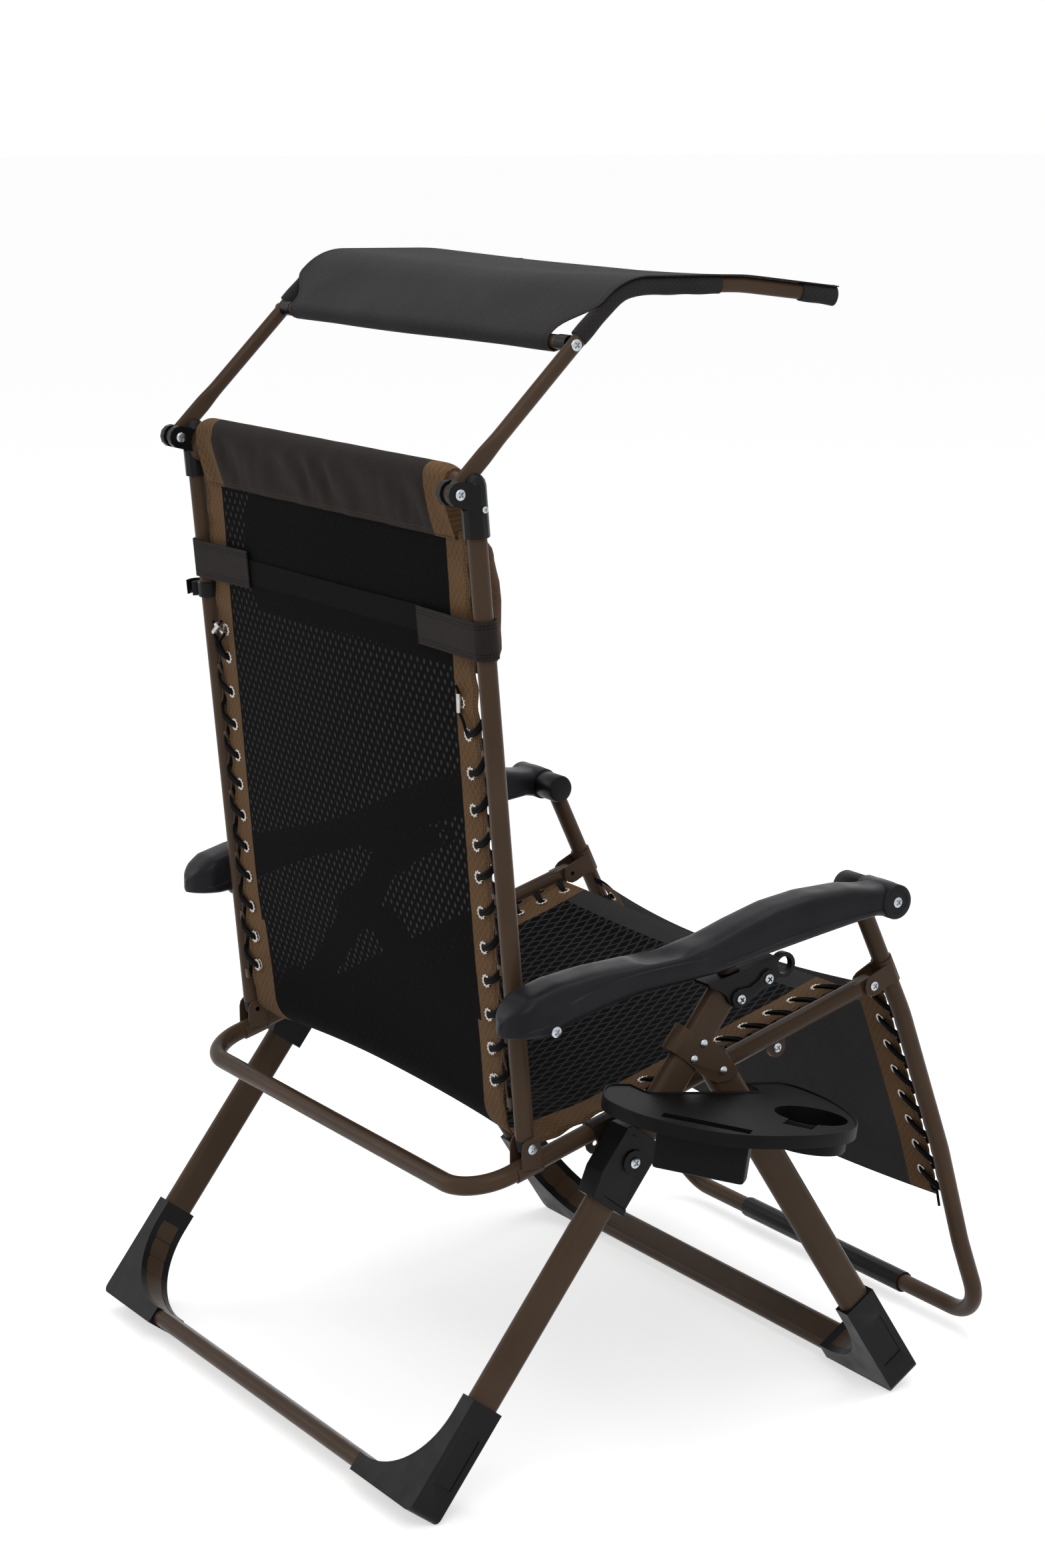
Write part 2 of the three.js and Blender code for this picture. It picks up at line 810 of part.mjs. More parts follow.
function frontLegTop(past) {
  return Math.hypot(foldPivot[0] - frontFoot[0], foldPivot[1] - frontFoot[1]) + past;
}

function buildFrontLegs() {
  const group = new THREE.Group();
  group.name = 'front_legs';
  const top = frontLegTop(frontLegPast);
  const bores = bothSides.map((side) => foldBore(side, seam));
  addMesh(group, 'front_leg_frame', cut(legLoop(frontFoot, frontUp, top, legSection()), ...bores), paint);
  bothSides.forEach((side) => {
    addMesh(group, `front_foot_${sideNames[side]}`, legFoot(side, frontFoot, frontUp, top), moulding);
    addMesh(group, `front_leg_plug_${sideNames[side]}`, frontLegPlug(side, top), moulding);
  });
  return group;
}

function foldBore(side, room) {
  return crossPin(foldPivot, pinRadius + room, side * (legHalf - cutReach), side * (legHalf + cutReach));
}

// Plug with a spigot inside the tube and a cap as wide as the tube
function frontLegPlug(side, top) {
  const end = along(frontFoot, frontUp, top);
  const square = new THREE.Vector3(0, frontUp[1], -frontUp[0]);
  const run = (from, to) => bentRings(
    [at(side * legHalf, along(end, frontUp, from)), at(side * legHalf, along(end, frontUp, to))],
    [],
  );
  const spigot = sweep(legSection(-legWall - slip * 2, 0), run(-legPlugDepth, seam + overlap), square);
  const cap = sweep(legSection(0, 0), run(seam, seam + legPlugThick), square);
  return cut(joined(spigot, cap), foldBore(side, slip));
}

// Round tubes
function roundTube(rings, across, radius = tubeRadius, wall = tubeWall, sides = roundSides) {
  return sweep(pipeSection(radius, radius, wall, sides, boreSides), rings, across);
}

// Sheet saddle: wraps under or over the rail and stands up in two ears at its pivot
function railSaddle(side, pivot, ear) {
  const bed = railAt(pivot[0]);
  const thick = tubeRadius + saddleSheet + seam;
  const direction = unit(bed, pivot);
  const reach = Math.hypot(pivot[0] - bed[0], pivot[1] - bed[1]);
  const from = side * slingHalf - thick;
  const to = side * slingHalf + thick;
  const wide = ear * 2;
  const plate = slantBox(along(bed, direction, reach * half), direction, reach, wide, from, to);
  const round = crossPin(pivot, ear, from, to, roundSides);
  const wrapLow = at(side * slingHalf, along(bed, railUp, -saddleLong * half));
  const wrapHigh = at(side * slingHalf, along(bed, railUp, saddleLong * half));
  const wrap = sweep(
    pipeSection(thick, thick, 0, roundSides, roundSides),
    bentRings([wrapLow, wrapHigh], []),
    new THREE.Vector3(1, 0, 0),
  );
  const body = joined(plate, round, wrap);
  const rail = sweep(
    pipeSection(tubeRadius + seam, tubeRadius + seam, 0, roundSides, roundSides),
    bentRings(
      [
        at(side * slingHalf, along(bed, railUp, -saddleLong)),
        at(side * slingHalf, along(bed, railUp, saddleLong)),
      ],
      [],
    ),
    new THREE.Vector3(1, 0, 0),
  );
  const slotFrom = along(bed, direction, -overlap);
  const slot = slantBox(
    along(slotFrom, direction, (reach + cutReach) * half),
    direction,
    reach + cutReach,
    wide * 2,
    side * slingHalf - tubeRadius - seam,
    side * slingHalf + tubeRadius + seam,
  );
  const bore = crossPin(pivot, pinRadius + seam, side * slingHalf - cutReach, side * slingHalf + cutReach);
  return cut(body, rail, slot, bore);
}

function railTab(side) {
  const spot = [railTabBack, railAt(railTabBack)[1] - railTabDrop];
  const direction = [0, 1];
  const from = side * slingHalf - railTabThick;
  const to = side * slingHalf + railTabThick;
  const plate = slantBox(
    along(spot, direction, railTabDrop * half),
    direction,
    railTabDrop,
    railTabRadius * 2,
    from,
    to,
  );
  return [plate, crossPin(spot, railTabRadius, from, to, roundSides)];
}

// The rail end: a solid tongue with a round nose at the knee pivot
function railTongue(side, end) {
  const reach = end[0] - kneePivot[0] + railFrontGap * 2;
  const from = side * slingHalf - tongueHalf;
  const to = side * slingHalf + tongueHalf;
  const direction = unit(kneePivot, end);
  const plate = slantBox(
    along(kneePivot, direction, reach * half),
    direction,
    reach,
    tongueRadius * 2 - overlap,
    from,
    to,
  );
  const nose = crossPin(kneePivot, tongueRadius, from, to, roundSides);
  const bore = crossPin(kneePivot, pinRadius + seam, from * 2, to * 2);
  return toSolid(plate).add(toSolid(nose)).subtract(toSolid(bore));
}

function seatFrame() {
  const end = railAt(kneePivot[0] + tubeRadius + railFrontGap);
  const back = railAt(seatBarBack);
  const points = [at(-slingHalf, end), at(-slingHalf, back), at(slingHalf, back), at(slingHalf, end)];
  const square = new THREE.Vector3(0, -railUp[1], railUp[0]);
  const tube = roundTube(bentRings(points, [seatBend, seatBend]), square);
  const tabs = bothSides.flatMap(railTab);
  const hollow = sweep(
    pipeSection(tubeRadius - tubeWall, tubeRadius - tubeWall, 0, boreSides, boreSides),
    bentRings(points, [seatBend, seatBend]),
    square,
  );
  const solid = tabs.map(toSolid).reduce((all, one) => all.add(one), toSolid(tube));
  const trimmed = solid.subtract(toSolid(hollow));
  return fromSolid(bothSides.reduce((all, side) => all.add(railTongue(side, end)), trimmed));
}

// Section of a sling panel
function slingSection(halfWidth) {
  const face = [];
  const steps = archSteps * 2;
  for (let i = 0; i <= steps; i += 1) {
    const share = i / steps * 2 - 1;
    face.push(new THREE.Vector2(panelThick * half, share * halfWidth));
  }
  const underside = face.map((one) => new THREE.Vector2(one.x - panelThick, one.y)).reverse();
  return new THREE.Shape([...face, ...underside]);
}

const acrossChair = new THREE.Vector3(1, 0, 0);

function dipAt(x, halfWidth, dip) {
  return dip * (1 - (x / halfWidth) ** 2);
}

// A frame on a side-view line: where it is, its direction and its square
function eyeletFrames(row, line, halfWidth, dip) {
  const frames = [];
  for (let i = 0; i < row.count; i += 1) {
    const { spot, direction } = line(row.first + row.pitch * i);
    const square = [-direction[1], direction[0]];
    frames.push({ spot: along(spot, square, dipAt(row.inset, halfWidth, dip)), direction, square });
  }
  return frames;
}

function eyeletTool(side, inset, frame, radius, thick) {
  const disc = new THREE.CylinderGeometry(radius, radius, thick, eyeletSides);
  const turn = new THREE.Quaternion().setFromUnitVectors(
    new THREE.Vector3(0, 1, 0),
    new THREE.Vector3(0, frame.square[0], frame.square[1]),
  );
  disc.applyQuaternion(turn);
  disc.translate(side * inset, frame.spot[0], frame.spot[1]);
  return disc;
}

// Moves the slab off its flat line by the dip, ring by ring
function sag(slab, rings, halfWidth, dip, shareAt) {
  const spot = slab.attributes.position;
  const here = new THREE.Vector3();
  for (let i = 0; i < spot.count; i += 1) {
    here.fromBufferAttribute(spot, i);
    const x = here.x;
    here.setX(0);
    const near = rings.reduce((best, ring) => (
      ring.point.distanceToSquared(here) < best.point.distanceToSquared(here) ? ring : best
    ));
    const square = acrossChair.clone().cross(near.tangent).normalize();
    here.addScaledVector(square, dipAt(x, halfWidth, dip) * shareAt(near.point.y));
    spot.setXYZ(i, x, here.y, here.z);
  }
}

// A sling panel: a slab that dips between its hems, with eyelets along both of them
function slingPanel(points, radii, halfWidth, dip, row, line, extra = [], shareAt = () => 1) {
  const rings = bentRings(points.map((one) => at(0, one)), radii);
  const slab = sweep(slingSection(halfWidth), rings, acrossChair);
  sag(slab, rings, halfWidth, dip, shareAt);
  let body = [slab, ...extra].map(toSolid).reduce((all, one) => all.add(one));
  const frames = eyeletFrames(row, line, halfWidth, dip);
  bothSides.forEach((side) => frames.forEach((frame) => {
    body = body.subtract(toSolid(eyeletTool(side, row.inset, frame, eyeletHole, panelThick * eyeletToolShare)));
  }));
  return fromSolid(body);
}

// Elastic lacing: from the tube through each eyelet and back to the tube
function lacing(side, row, line, halfWidth, dip) {
  const frames = eyeletFrames(row, line, halfWidth, dip);
  const tubeSide = slingHalf - tubeRadius - cordRadius - seam;
  const clear = panelThick * half + cordRadius + slip * 2;
  const hem = halfWidth + cordRadius;
  const spots = [];
  const place = (frame, x, move, rise) => {
    spots.push(at(side * x, along(along(frame.spot, frame.direction, move), frame.square, rise)));
  };
  frames.forEach((frame) => {
    place(frame, tubeSide, -row.pitch * half, 0);
    place(frame, hem, -row.pitch * laceShare, -clear);
    place(frame, row.inset, 0, -clear);
    place(frame, row.inset, 0, clear);
    place(frame, hem, row.pitch * laceShare, clear);
  });
  place(frames[frames.length - 1], tubeSide, row.pitch * half, 0);
  const rings = spots.map((point, i) => {
    const before = spots[Math.max(0, i - 1)];
    const after = spots[Math.min(spots.length - 1, i + 1)];
    return { point, tangent: after.clone().sub(before).normalize() };
  });
  const section = pipeSection(cordRadius, cordRadius, 0, cordSides, cordSides);
  const flip = new THREE.Vector3(0, frames[0].square[0], frames[0].square[1]);
  return sweep(section, rings, flip);
}

const seatLine = (back) => ({ spot: railAt(back), direction: railUp });

// Where the line of the back cloth meets the line of the seat cloth
function seatBackCorner() {
  const rise = (railAt(lapTop[0])[1] - lapTop[1]) / (backUp[1] + backUp[0] * railSlope);
  return along(lapTop, backUp, rise);
}

function buildSeat() {
  const group = new THREE.Group();
  group.name = 'seat';
  addMesh(group, 'seat_frame', seatFrame(), paint);
  bothSides.forEach((side) => {
    const name = sideNames[side];
    addMesh(group, `seat_saddle_${name}`, railSaddle(side, seatPivot, saddleEar), paint);
    addMesh(group, `back_saddle_${name}`, railSaddle(side, backPivot, saddleEar), paint);
    const face = slingHalf + tubeRadius + saddleSheet + slip;
    addMesh(
      group,
      `back_pivot_bolt_${name}`,
      head(side, face, backPivot, screwRadius, screwRise, (face - slingHalf) * 2),
      zinc,
    );
    const cord = lacing(side, seatRow, seatLine, seatPanelHalf, seatDip);
    addMesh(group, `seat_lacing_${name}`, cord, elastic);
  });
  const lapCorner = seatBackCorner();
  const stops = lapDipSpan.map(railAt);
  const points = [lapTop, lapCorner, ...stops, railAt(seatPanelFront)];
  const radii = [lapBend, overlap, overlap];
  const dipShare = (back) => THREE.MathUtils.clamp(
    THREE.MathUtils.mapLinear(back, lapDipSpan[0], lapDipSpan[1], lapDipShare, 1),
    lapDipShare,
    1,
  );
  const panel = slingPanel(points, radii, seatPanelHalf, seatDip, seatRow, seatLine, [], dipShare);
  addMesh(group, 'seat_panel', panel, mesh);
  return group;
}

const backLine = (up) => ({ spot: backAt(up), direction: backUp });

// The back frame: a loop whose top is the head bar
function backLoop(radius, wall, sides, low) {
  const start = along(backPivot, backUp, low);
  const top = backAt(headHeight);
  const points = [at(-slingHalf, start), at(-slingHalf, top), at(slingHalf, top), at(slingHalf, start)];
  const square = new THREE.Vector3(0, backUp[1], -backUp[0]);
  return sweep(
    pipeSection(radius, radius, wall, sides, boreSides),
    bentRings(points, [headBend, headBend]),
    square,
  );
}

function backTubePlug(side) {
  const profile = [[0, -tubeRadius]];
  for (let i = 1; i <= archSteps; i += 1) {
    const angle = i / archSteps * quarterTurn;
    profile.push([Math.sin(angle) * tubeRadius, -Math.cos(angle) * tubeRadius]);
  }
  const spigot = tubeRadius - tubeWall - slip * 3;
  profile.push([tubeRadius, backPlugAbove - seam], [spigot, backPlugAbove - seam]);
  profile.push([spigot, backPlugAbove * 2], [0, backPlugAbove * 2]);
  const plug = new THREE.LatheGeometry(profile.map(([r, h]) => new THREE.Vector2(r, h)), roundSides);
  plug.rotateX(quarterTurn);
  plug.rotateX(-Math.atan2(backSlope, 1));
  plug.translate(side * slingHalf, backPivot[0], backPivot[1]);
  return cut(
    plug,
    crossPin(backPivot, pinRadius + seam, side * slingHalf - cutReach, side * slingHalf + cutReach),
  );
}

// Moulded socket over each top corner of the back loop, with two ears for the canopy arm
function canopySocket(side) {
  const low = backAt(socketLow);
  const high = backAt(socketTop);
  const profile = [[0, 0], [socketRadius, 0], [socketRadius, socketTop - socketLow]];
  for (let i = 1; i < archSteps; i += 1) {
    const angle = i / archSteps * quarterTurn;
    profile.push([Math.cos(angle) * socketRadius, socketTop - socketLow + Math.sin(angle) * socketRadius]);
  }
  profile.push([0, socketTop - socketLow + socketRadius]);
  const cap = new THREE.LatheGeometry(profile.map(([r, h]) => new THREE.Vector2(r, h)), roundSides);
  cap.rotateX(quarterTurn);
  cap.rotateX(-Math.atan2(backSlope, 1));
  cap.translate(side * slingHalf, low[0], low[1]);
  const from = side * slingHalf - socketRadius + overlap;
  const to = side * slingHalf + socketRadius - overlap;
  const webDirection = unit(along(high, backUp, -earRadius), canopyPivot);
  const reach = Math.hypot(canopyPivot[0] - high[0], canopyPivot[1] - high[1]);
  const web = slantBox(
    along(canopyPivot, webDirection, -reach * half),
    webDirection,
    reach,
    earRadius * 2 - overlap,
    from,
    to,
  );
  const ears = crossPin(canopyPivot, earRadius, from, to, roundSides);
  const slot = sidePlate(slotOutline, side * slingHalf - slotHalf, side * slingHalf + slotHalf);
  const bore = crossPin(
    canopyPivot,
    pinRadius + seam,
    side * slingHalf - cutReach,
    side * slingHalf + cutReach,
  );
  return cut(joined(cap, web, ears), backLoop(tubeRadius + seam, 0, roundSides, backPlugAbove), slot, bore);
}

function headSleeve() {
  const bar = backAt(headHeight);
  const outer = tubeRadius + seam * 2 + sleeveCloth;
  const wrap = crossPin(
    bar,
    outer,
    -slingHalf + headBend + tubeRadius,
    slingHalf - headBend - tubeRadius,
    roundSides,
  );
  const low = along(bar, backUp, -sleeveDrop);
  const flap = slantBox(
    along(bar, backUp, -sleeveDrop * half),
    backUp,
    sleeveDrop,
    panelThick + sleeveCloth,
    -slingHalf + headBend + tubeRadius,
    slingHalf - headBend - tubeRadius,
  );
  return { wrap, flap, low };
}

function backPanel() {
  const { wrap, flap, low } = headSleeve();
  const points = [backAt(backPanelSpan[0]), along(low, backUp, panelThick)];
  const panel = slingPanel(points, [], backPanelHalf, backDip, backRow, backLine, [flap, wrap]);
  return cut(panel, backLoop(tubeRadius + seam, 0, roundSides, backPlugAbove));
}

// Pillow on the front of the back panel: a crowned closed form that pulls in between its corners
function pillow() {
  const high = pillowHigh - pillowLow;
  const shape = new THREE.Shape();
  const steps = archSteps * 2;
  const spots = [];
  for (let i = 0; i < steps * 2; i += 1) {
    const angle = (i + half) / (steps * 2) * Math.PI * 2;
    const u = Math.sign(Math.cos(angle)) * Math.abs(Math.cos(angle)) ** pillowCornerPower;
    const v = Math.sign(Math.sin(angle)) * Math.abs(Math.sin(angle)) ** pillowCrownPower;
    spots.push(new THREE.Vector2(u * pillowDeep * half, v * high * half));
  }
  shape.setFromPoints(spots);
  const rounds = archSteps * 2 + 2;
  const centre = backAt((pillowLow + pillowHigh) * half);
  const lead = along(centre, [-backUp[1], backUp[0]], pillowDeep * half + pillowGap + panelThick + seam);
  const body = new THREE.ExtrudeGeometry(
    shape,
    { depth: pillowHalf * 2, steps: rounds, bevelEnabled: false },
  );
  body.translate(0, 0, -pillowHalf);
  const spot = body.attributes.position;
  for (let i = 0; i < spot.count; i += 1) {
    const share = Math.abs(spot.getZ(i) / pillowHalf);
    const thin = Math.sqrt(Math.max(1 - share ** pillowEndPower, 0)) * (1 - pillowEndShare) + pillowEndShare;
    const ear = pillowEarShare * (1 - share ** 2) * Math.abs(spot.getY(i)) / (high * half);
    const tall = 1 - ear - pillowTuckShare * share ** pillowTuckPower;
    spot.setXYZ(i, spot.getX(i) * thin, spot.getY(i) * tall, spot.getZ(i));
  }
  const basis = new THREE.Matrix4().makeBasis(
    new THREE.Vector3(0, -backUp[1], backUp[0]),
    new THREE.Vector3(0, backUp[0], backUp[1]),
    new THREE.Vector3(-1, 0, 0),
  );
  basis.setPosition(at(0, lead));
  body.applyMatrix4(basis);
  return body;
}

// Strap round the back of the tubes: flat across the rear, with a return round each tube
function pillowStrap() {
  const centre = backAt((strapLow + strapHigh) * half);
  const tall = strapHigh - strapLow;
  const behind = tubeRadius + strapGap + strapThick * half;
  const shape = new THREE.Shape();
  const outer = behind + strapThick * half;
  const inner = behind - strapThick * half;
  shape.moveTo(-slingHalf, outer);
  shape.lineTo(slingHalf, outer);
  shape.absarc(slingHalf, 0, outer, quarterTurn, -quarterTurn, true);
  shape.lineTo(slingHalf, -inner);
  shape.absarc(slingHalf, 0, inner, -quarterTurn, quarterTurn, false);
  shape.lineTo(-slingHalf, inner);
  shape.absarc(-slingHalf, 0, inner, quarterTurn, Math.PI + quarterTurn, false);
  shape.lineTo(-slingHalf, -outer);
  shape.absarc(-slingHalf, 0, outer, -quarterTurn, -quarterTurn - Math.PI, true);
  const band = new THREE.ExtrudeGeometry(
    shape,
    { depth: tall, bevelEnabled: false, curveSegments: archSteps },
  );
  const basis = new THREE.Matrix4().makeBasis(
    new THREE.Vector3(1, 0, 0),
    new THREE.Vector3(0, backUp[1], -backUp[0]),
    new THREE.Vector3(0, backUp[0], backUp[1]),
  );
  band.translate(0, 0, -tall * half);
  basis.setPosition(at(0, centre));
  band.applyMatrix4(basis);
  return band;
}

// Clip on the left back tube: one jaw round the tube and one open jaw for the folded canopy arm
function canopyClip() {
  const centre = backAt(clipHeight);
  const grip = tubeRadius + seam + clipWall;
  const jawCentre = new THREE.Vector2(grip + clipJawRadius, clipWall * 2);
  const plate = (shape) => {
    const part = new THREE.ExtrudeGeometry(
      shape,
      { depth: clipTall, bevelEnabled: false, curveSegments: archSteps * 2 },
    );
    part.translate(0, 0, -clipTall * half);
    return part;
  };
  const disc = (spot, radius) => {
    const shape = new THREE.Shape();
    shape.absarc(spot.x, spot.y, radius, 0, Math.PI * 2);
    return plate(shape);
  };
  const mouth = (spot, turn, wide) => {
    const corners = [[-wide, 0], [wide, 0], [wide, -cutReach], [-wide, -cutReach]];
    const turned = corners.map(([u, v]) => new THREE.Vector2(u, v).rotateAround(new THREE.Vector2(), turn));
    const spots = turned.map((one) => one.add(spot));
    return plate(new THREE.Shape(spots));
  };
  const home = new THREE.Vector2();
  const rings = toSolid(disc(home, grip)).add(toSolid(disc(jawCentre, clipJawRadius + clipWall)));
  const open = [
    disc(home, tubeRadius + seam),
    disc(jawCentre, clipJawRadius),
    mouth(home, 0, tubeRadius * clipMouthShare),
  ];
  open.push(mouth(jawCentre, Math.PI, clipJawRadius * jawMouthShare));
  const solid = open.map(toSolid).reduce((all, one) => all.subtract(one), rings);
  const clip = fromSolid(solid);
  const basis = new THREE.Matrix4().makeBasis(
    new THREE.Vector3(1, 0, 0),
    new THREE.Vector3(0, backUp[1], -backUp[0]),
    new THREE.Vector3(0, backUp[0], backUp[1]),
  );
  basis.setPosition(at(slingHalf, centre));
  clip.applyMatrix4(basis);
  return clip;
}

function buildBack() {
  const group = new THREE.Group();
  group.name = 'back';
  addMesh(group, 'back_frame', backLoop(tubeRadius, tubeWall, roundSides, backPlugAbove), paint);
  bothSides.forEach((side) => {
    const name = sideNames[side];
    addMesh(group, `back_tube_plug_${name}`, backTubePlug(side), moulding);
    addMesh(group, `canopy_socket_${name}`, canopySocket(side), moulding);
    const face = slingHalf + socketRadius - overlap + seam;
    const shank = (face - slingHalf) * 2 - seam * 2;
    addMesh(
      group,
      `canopy_pivot_bolt_${name}`,
      head(side, face, canopyPivot, screwRadius, screwRise, shank),
      zinc,
    );
    addMesh(group, `back_lacing_${name}`, lacing(side, backRow, backLine, backPanelHalf, backDip), elastic);
  });
  addMesh(group, 'back_panel', backPanel(), mesh);
  addMesh(group, 'headrest_pillow', pillow(), tan);
  addMesh(group, 'pillow_strap', pillowStrap(), charcoal);
  addMesh(group, 'canopy_clip', canopyClip(), moulding);
  return group;
}

// The leg rest side view: its tubes lean forward in a long gentle curve
const legPoints = [armFront, kneeBend, shinBend, calfBend, heelBar];
const kneeTop = along(armFront, unit(armFront, kneeBend), knuckleNeck * half);

// Both tubes and the heel bar as one loop
function legLoopTube(radius, wall, sides, past = 0) {
  const top = along(kneeTop, unit(kneeBend, kneeTop), past);
  const side = (x) => [top, kneeBend, shinBend, calfBend].map((one) => at(x, one));
  const points = [
    ...side(-slingHalf),
    at(-slingHalf, heelBar),
    at(slingHalf, heelBar),
    ...side(slingHalf).reverse(),
  ];
  const radii = [kneeBendRadius, kneeBendRadius, kneeBendRadius, heelBendRadius, heelBendRadius];
  radii.push(kneeBendRadius, kneeBendRadius, kneeBendRadius);
  const lean = unit(heelBar, calfBend);
  const square = new THREE.Vector3(0, lean[1], -lean[0]);
  return sweep(pipeSection(radius, radius, wall, sides, boreSides), bentRings(points, radii), square);
}

// Where the leg tube is, a given way down from the knuckle
function legLine(down) {
  const spots = [kneeTop, kneeBend, shinBend, calfBend, heelBar];
  let rest = down + knuckleNeck + clampLong;
  for (let i = 0; i < spots.length - 1; i += 1) {
    const run = Math.hypot(spots[i + 1][0] - spots[i][0], spots[i + 1][1] - spots[i][1]);
    const direction = unit(spots[i], spots[i + 1]);
    if (rest <= run || i === spots.length - 2) {
      return { spot: along(spots[i], direction, rest), direction };
    }
    rest -= run;
  }
  return null;
}

// Black knuckle on each leg tube top, turned in under the arm
function armKnuckle(side) {
  const down = unit(armFront, kneeBend);
  const outer = side * (armHalf - armWidth * half - slip);
  const barrel = crossPin(armFront, knuckleRadius, outer, outer - side * knuckleLong, roundSides);
  const neckLow = along(armFront, down, knuckleNeck + knuckleRadius);
  const neck = sweep(
    pipeSection(tubeRadius + clampSheet, tubeRadius + clampSheet, 0, roundSides, roundSides),
    bentRings([at(side * slingHalf, armFront), at(side * slingHalf, neckLow)], []),
    acrossChair,
  );
  const bore = crossPin(
    armFront,
    pinRadius + seam,
    outer - side * knuckleLong * 2,
    outer + side * knuckleLong,
  );
  return cut(joined(barrel, neck), legLoopTube(tubeRadius + seam, 0, roundSides, seam), bore);
}

// Sheet clamp round the leg tube whose ears hold the end of the seat rail
function kneeClamp(side) {
  const near = legNear(kneePivot);
  const thick = tubeRadius + clampSheet + seam;
  const from = side * slingHalf - thick;
  const to = side * slingHalf + thick;
  const wrap = sweep(
    pipeSection(thick, thick, 0, roundSides, roundSides),
    bentRings([at(side * slingHalf, along(near.spot, near.direction, -clampLong * half)),
      at(side * slingHalf, along(near.spot, near.direction, clampLong * half))], []),
    acrossChair,
  );
  const reach = Math.hypot(kneePivot[0] - near.spot[0], kneePivot[1] - near.spot[1]);
  const direction = unit(near.spot, kneePivot);
  const ear = slantBox(
    along(near.spot, direction, reach * half),
    direction,
    reach,
    saddleEar * 2,
    from,
    to,
  );
  const round = crossPin(kneePivot, saddleEar, from, to, roundSides);
  const slot = slantBox(
    along(near.spot, direction, tubeRadius + seam + cutReach * half),
    direction,
    cutReach,
    cutReach,
    side * slingHalf - tubeRadius - seam,
    side * slingHalf + tubeRadius + seam,
  );
  const bore = crossPin(
    kneePivot,
    pinRadius + seam,
    side * slingHalf - cutReach,
    side * slingHalf + cutReach,
  );
  return cut(joined(wrap, ear, round), legLoopTube(tubeRadius + seam, 0, roundSides), slot, bore);
}

// The place on the leg tube nearest a side-view point
function legNear([back, up]) {
  const direction = unit(kneeTop, kneeBend);
  const reach = (back - kneeTop[0]) * direction[0] + (up - kneeTop[1]) * direction[1];
  return { spot: along(kneeTop, direction, reach), direction };
}

function heelGrip() {
  const sleeve = crossPin(heelBar, tubeRadius + gripThick, -gripHalf, gripHalf, roundSides);
  return cut(sleeve, crossPin(heelBar, tubeRadius + slip, -gripHalf * 2, gripHalf * 2, roundSides));
}

function buildLegRest() {
  const group = new THREE.Group();
  group.name = 'leg_rest';
  addMesh(group, 'leg_rest_frame', legLoopTube(tubeRadius, tubeWall, roundSides), paint);
  bothSides.forEach((side) => {
    const name = sideNames[side];
    addMesh(group, `arm_knuckle_${name}`, armKnuckle(side), moulding);
    addMesh(group, `knee_clamp_${name}`, kneeClamp(side), paint);
    addMesh(group, `leg_lacing_${name}`, lacing(side, legRow, legLine, legPanelHalf, legDip), elastic);
  });
  addMesh(group, 'heel_grip', heelGrip(), moulding);
  const first = legLine(legPanelSpan[0]).spot;
  const last = legLine(legPanelSpan[1]).spot;
  const points = [first, kneeBend, shinBend, last];
  addMesh(
    group,
    'leg_panel',
    slingPanel(points, [overlap, overlap], legPanelHalf, legDip, legRow, legLine),
    charcoal,
  );
  return group;
}

// Arms
function buildArm(side) {
  const group = new THREE.Group();
  group.name = `arm_${sideNames[side]}`;
  const outline = [...armTop, ...armNose, ...armUnder];
  const from = side * (armHalf - armWidth * half);
  const to = side * (armHalf + armWidth * half);
  const body = sidePlate(outline.slice().reverse(), from, to, armInset);
  const thumb = new THREE.CylinderGeometry(thumbRadius, thumbRadius, thumbWide, roundSides * 2);
  thumb.rotateZ(quarterTurn);
  thumb.translate(side * armHalf, thumbPlace, armTop[5][1] + thumbRadius - thumbDeep);
  const inside = armHalf - armWidth * half + armWall;
  const outside = armHalf + armWidth * half - armWall;
  const under = armTop.filter(([back]) => back < armRearSolid && back > armFrontSolid);
  const roof = under.map(([back, up]) => [back, up - armRoof]);
  const first = roof[0];
  const last = roof[roof.length - 1];
  const hollow = [...roof, [last[0], last[1] - cutReach], [first[0], first[1] - cutReach * 2]];
  const trough = sidePlate(hollow.reverse(), side * inside, side * outside);
  const hub = crossPin(
    armRear,
    armHubRadius,
    side * (slingHalf + tubeRadius + slip),
    from + side * armWall,
    roundSides,
  );
  addMesh(group, `armrest_${sideNames[side]}`, cut(joined(body, hub), thumb, trough), moulding);
  return group;
}

// Canopy
const canopyPoints = [canopyPivot, canopyElbow, canopyCrown, canopyTip];

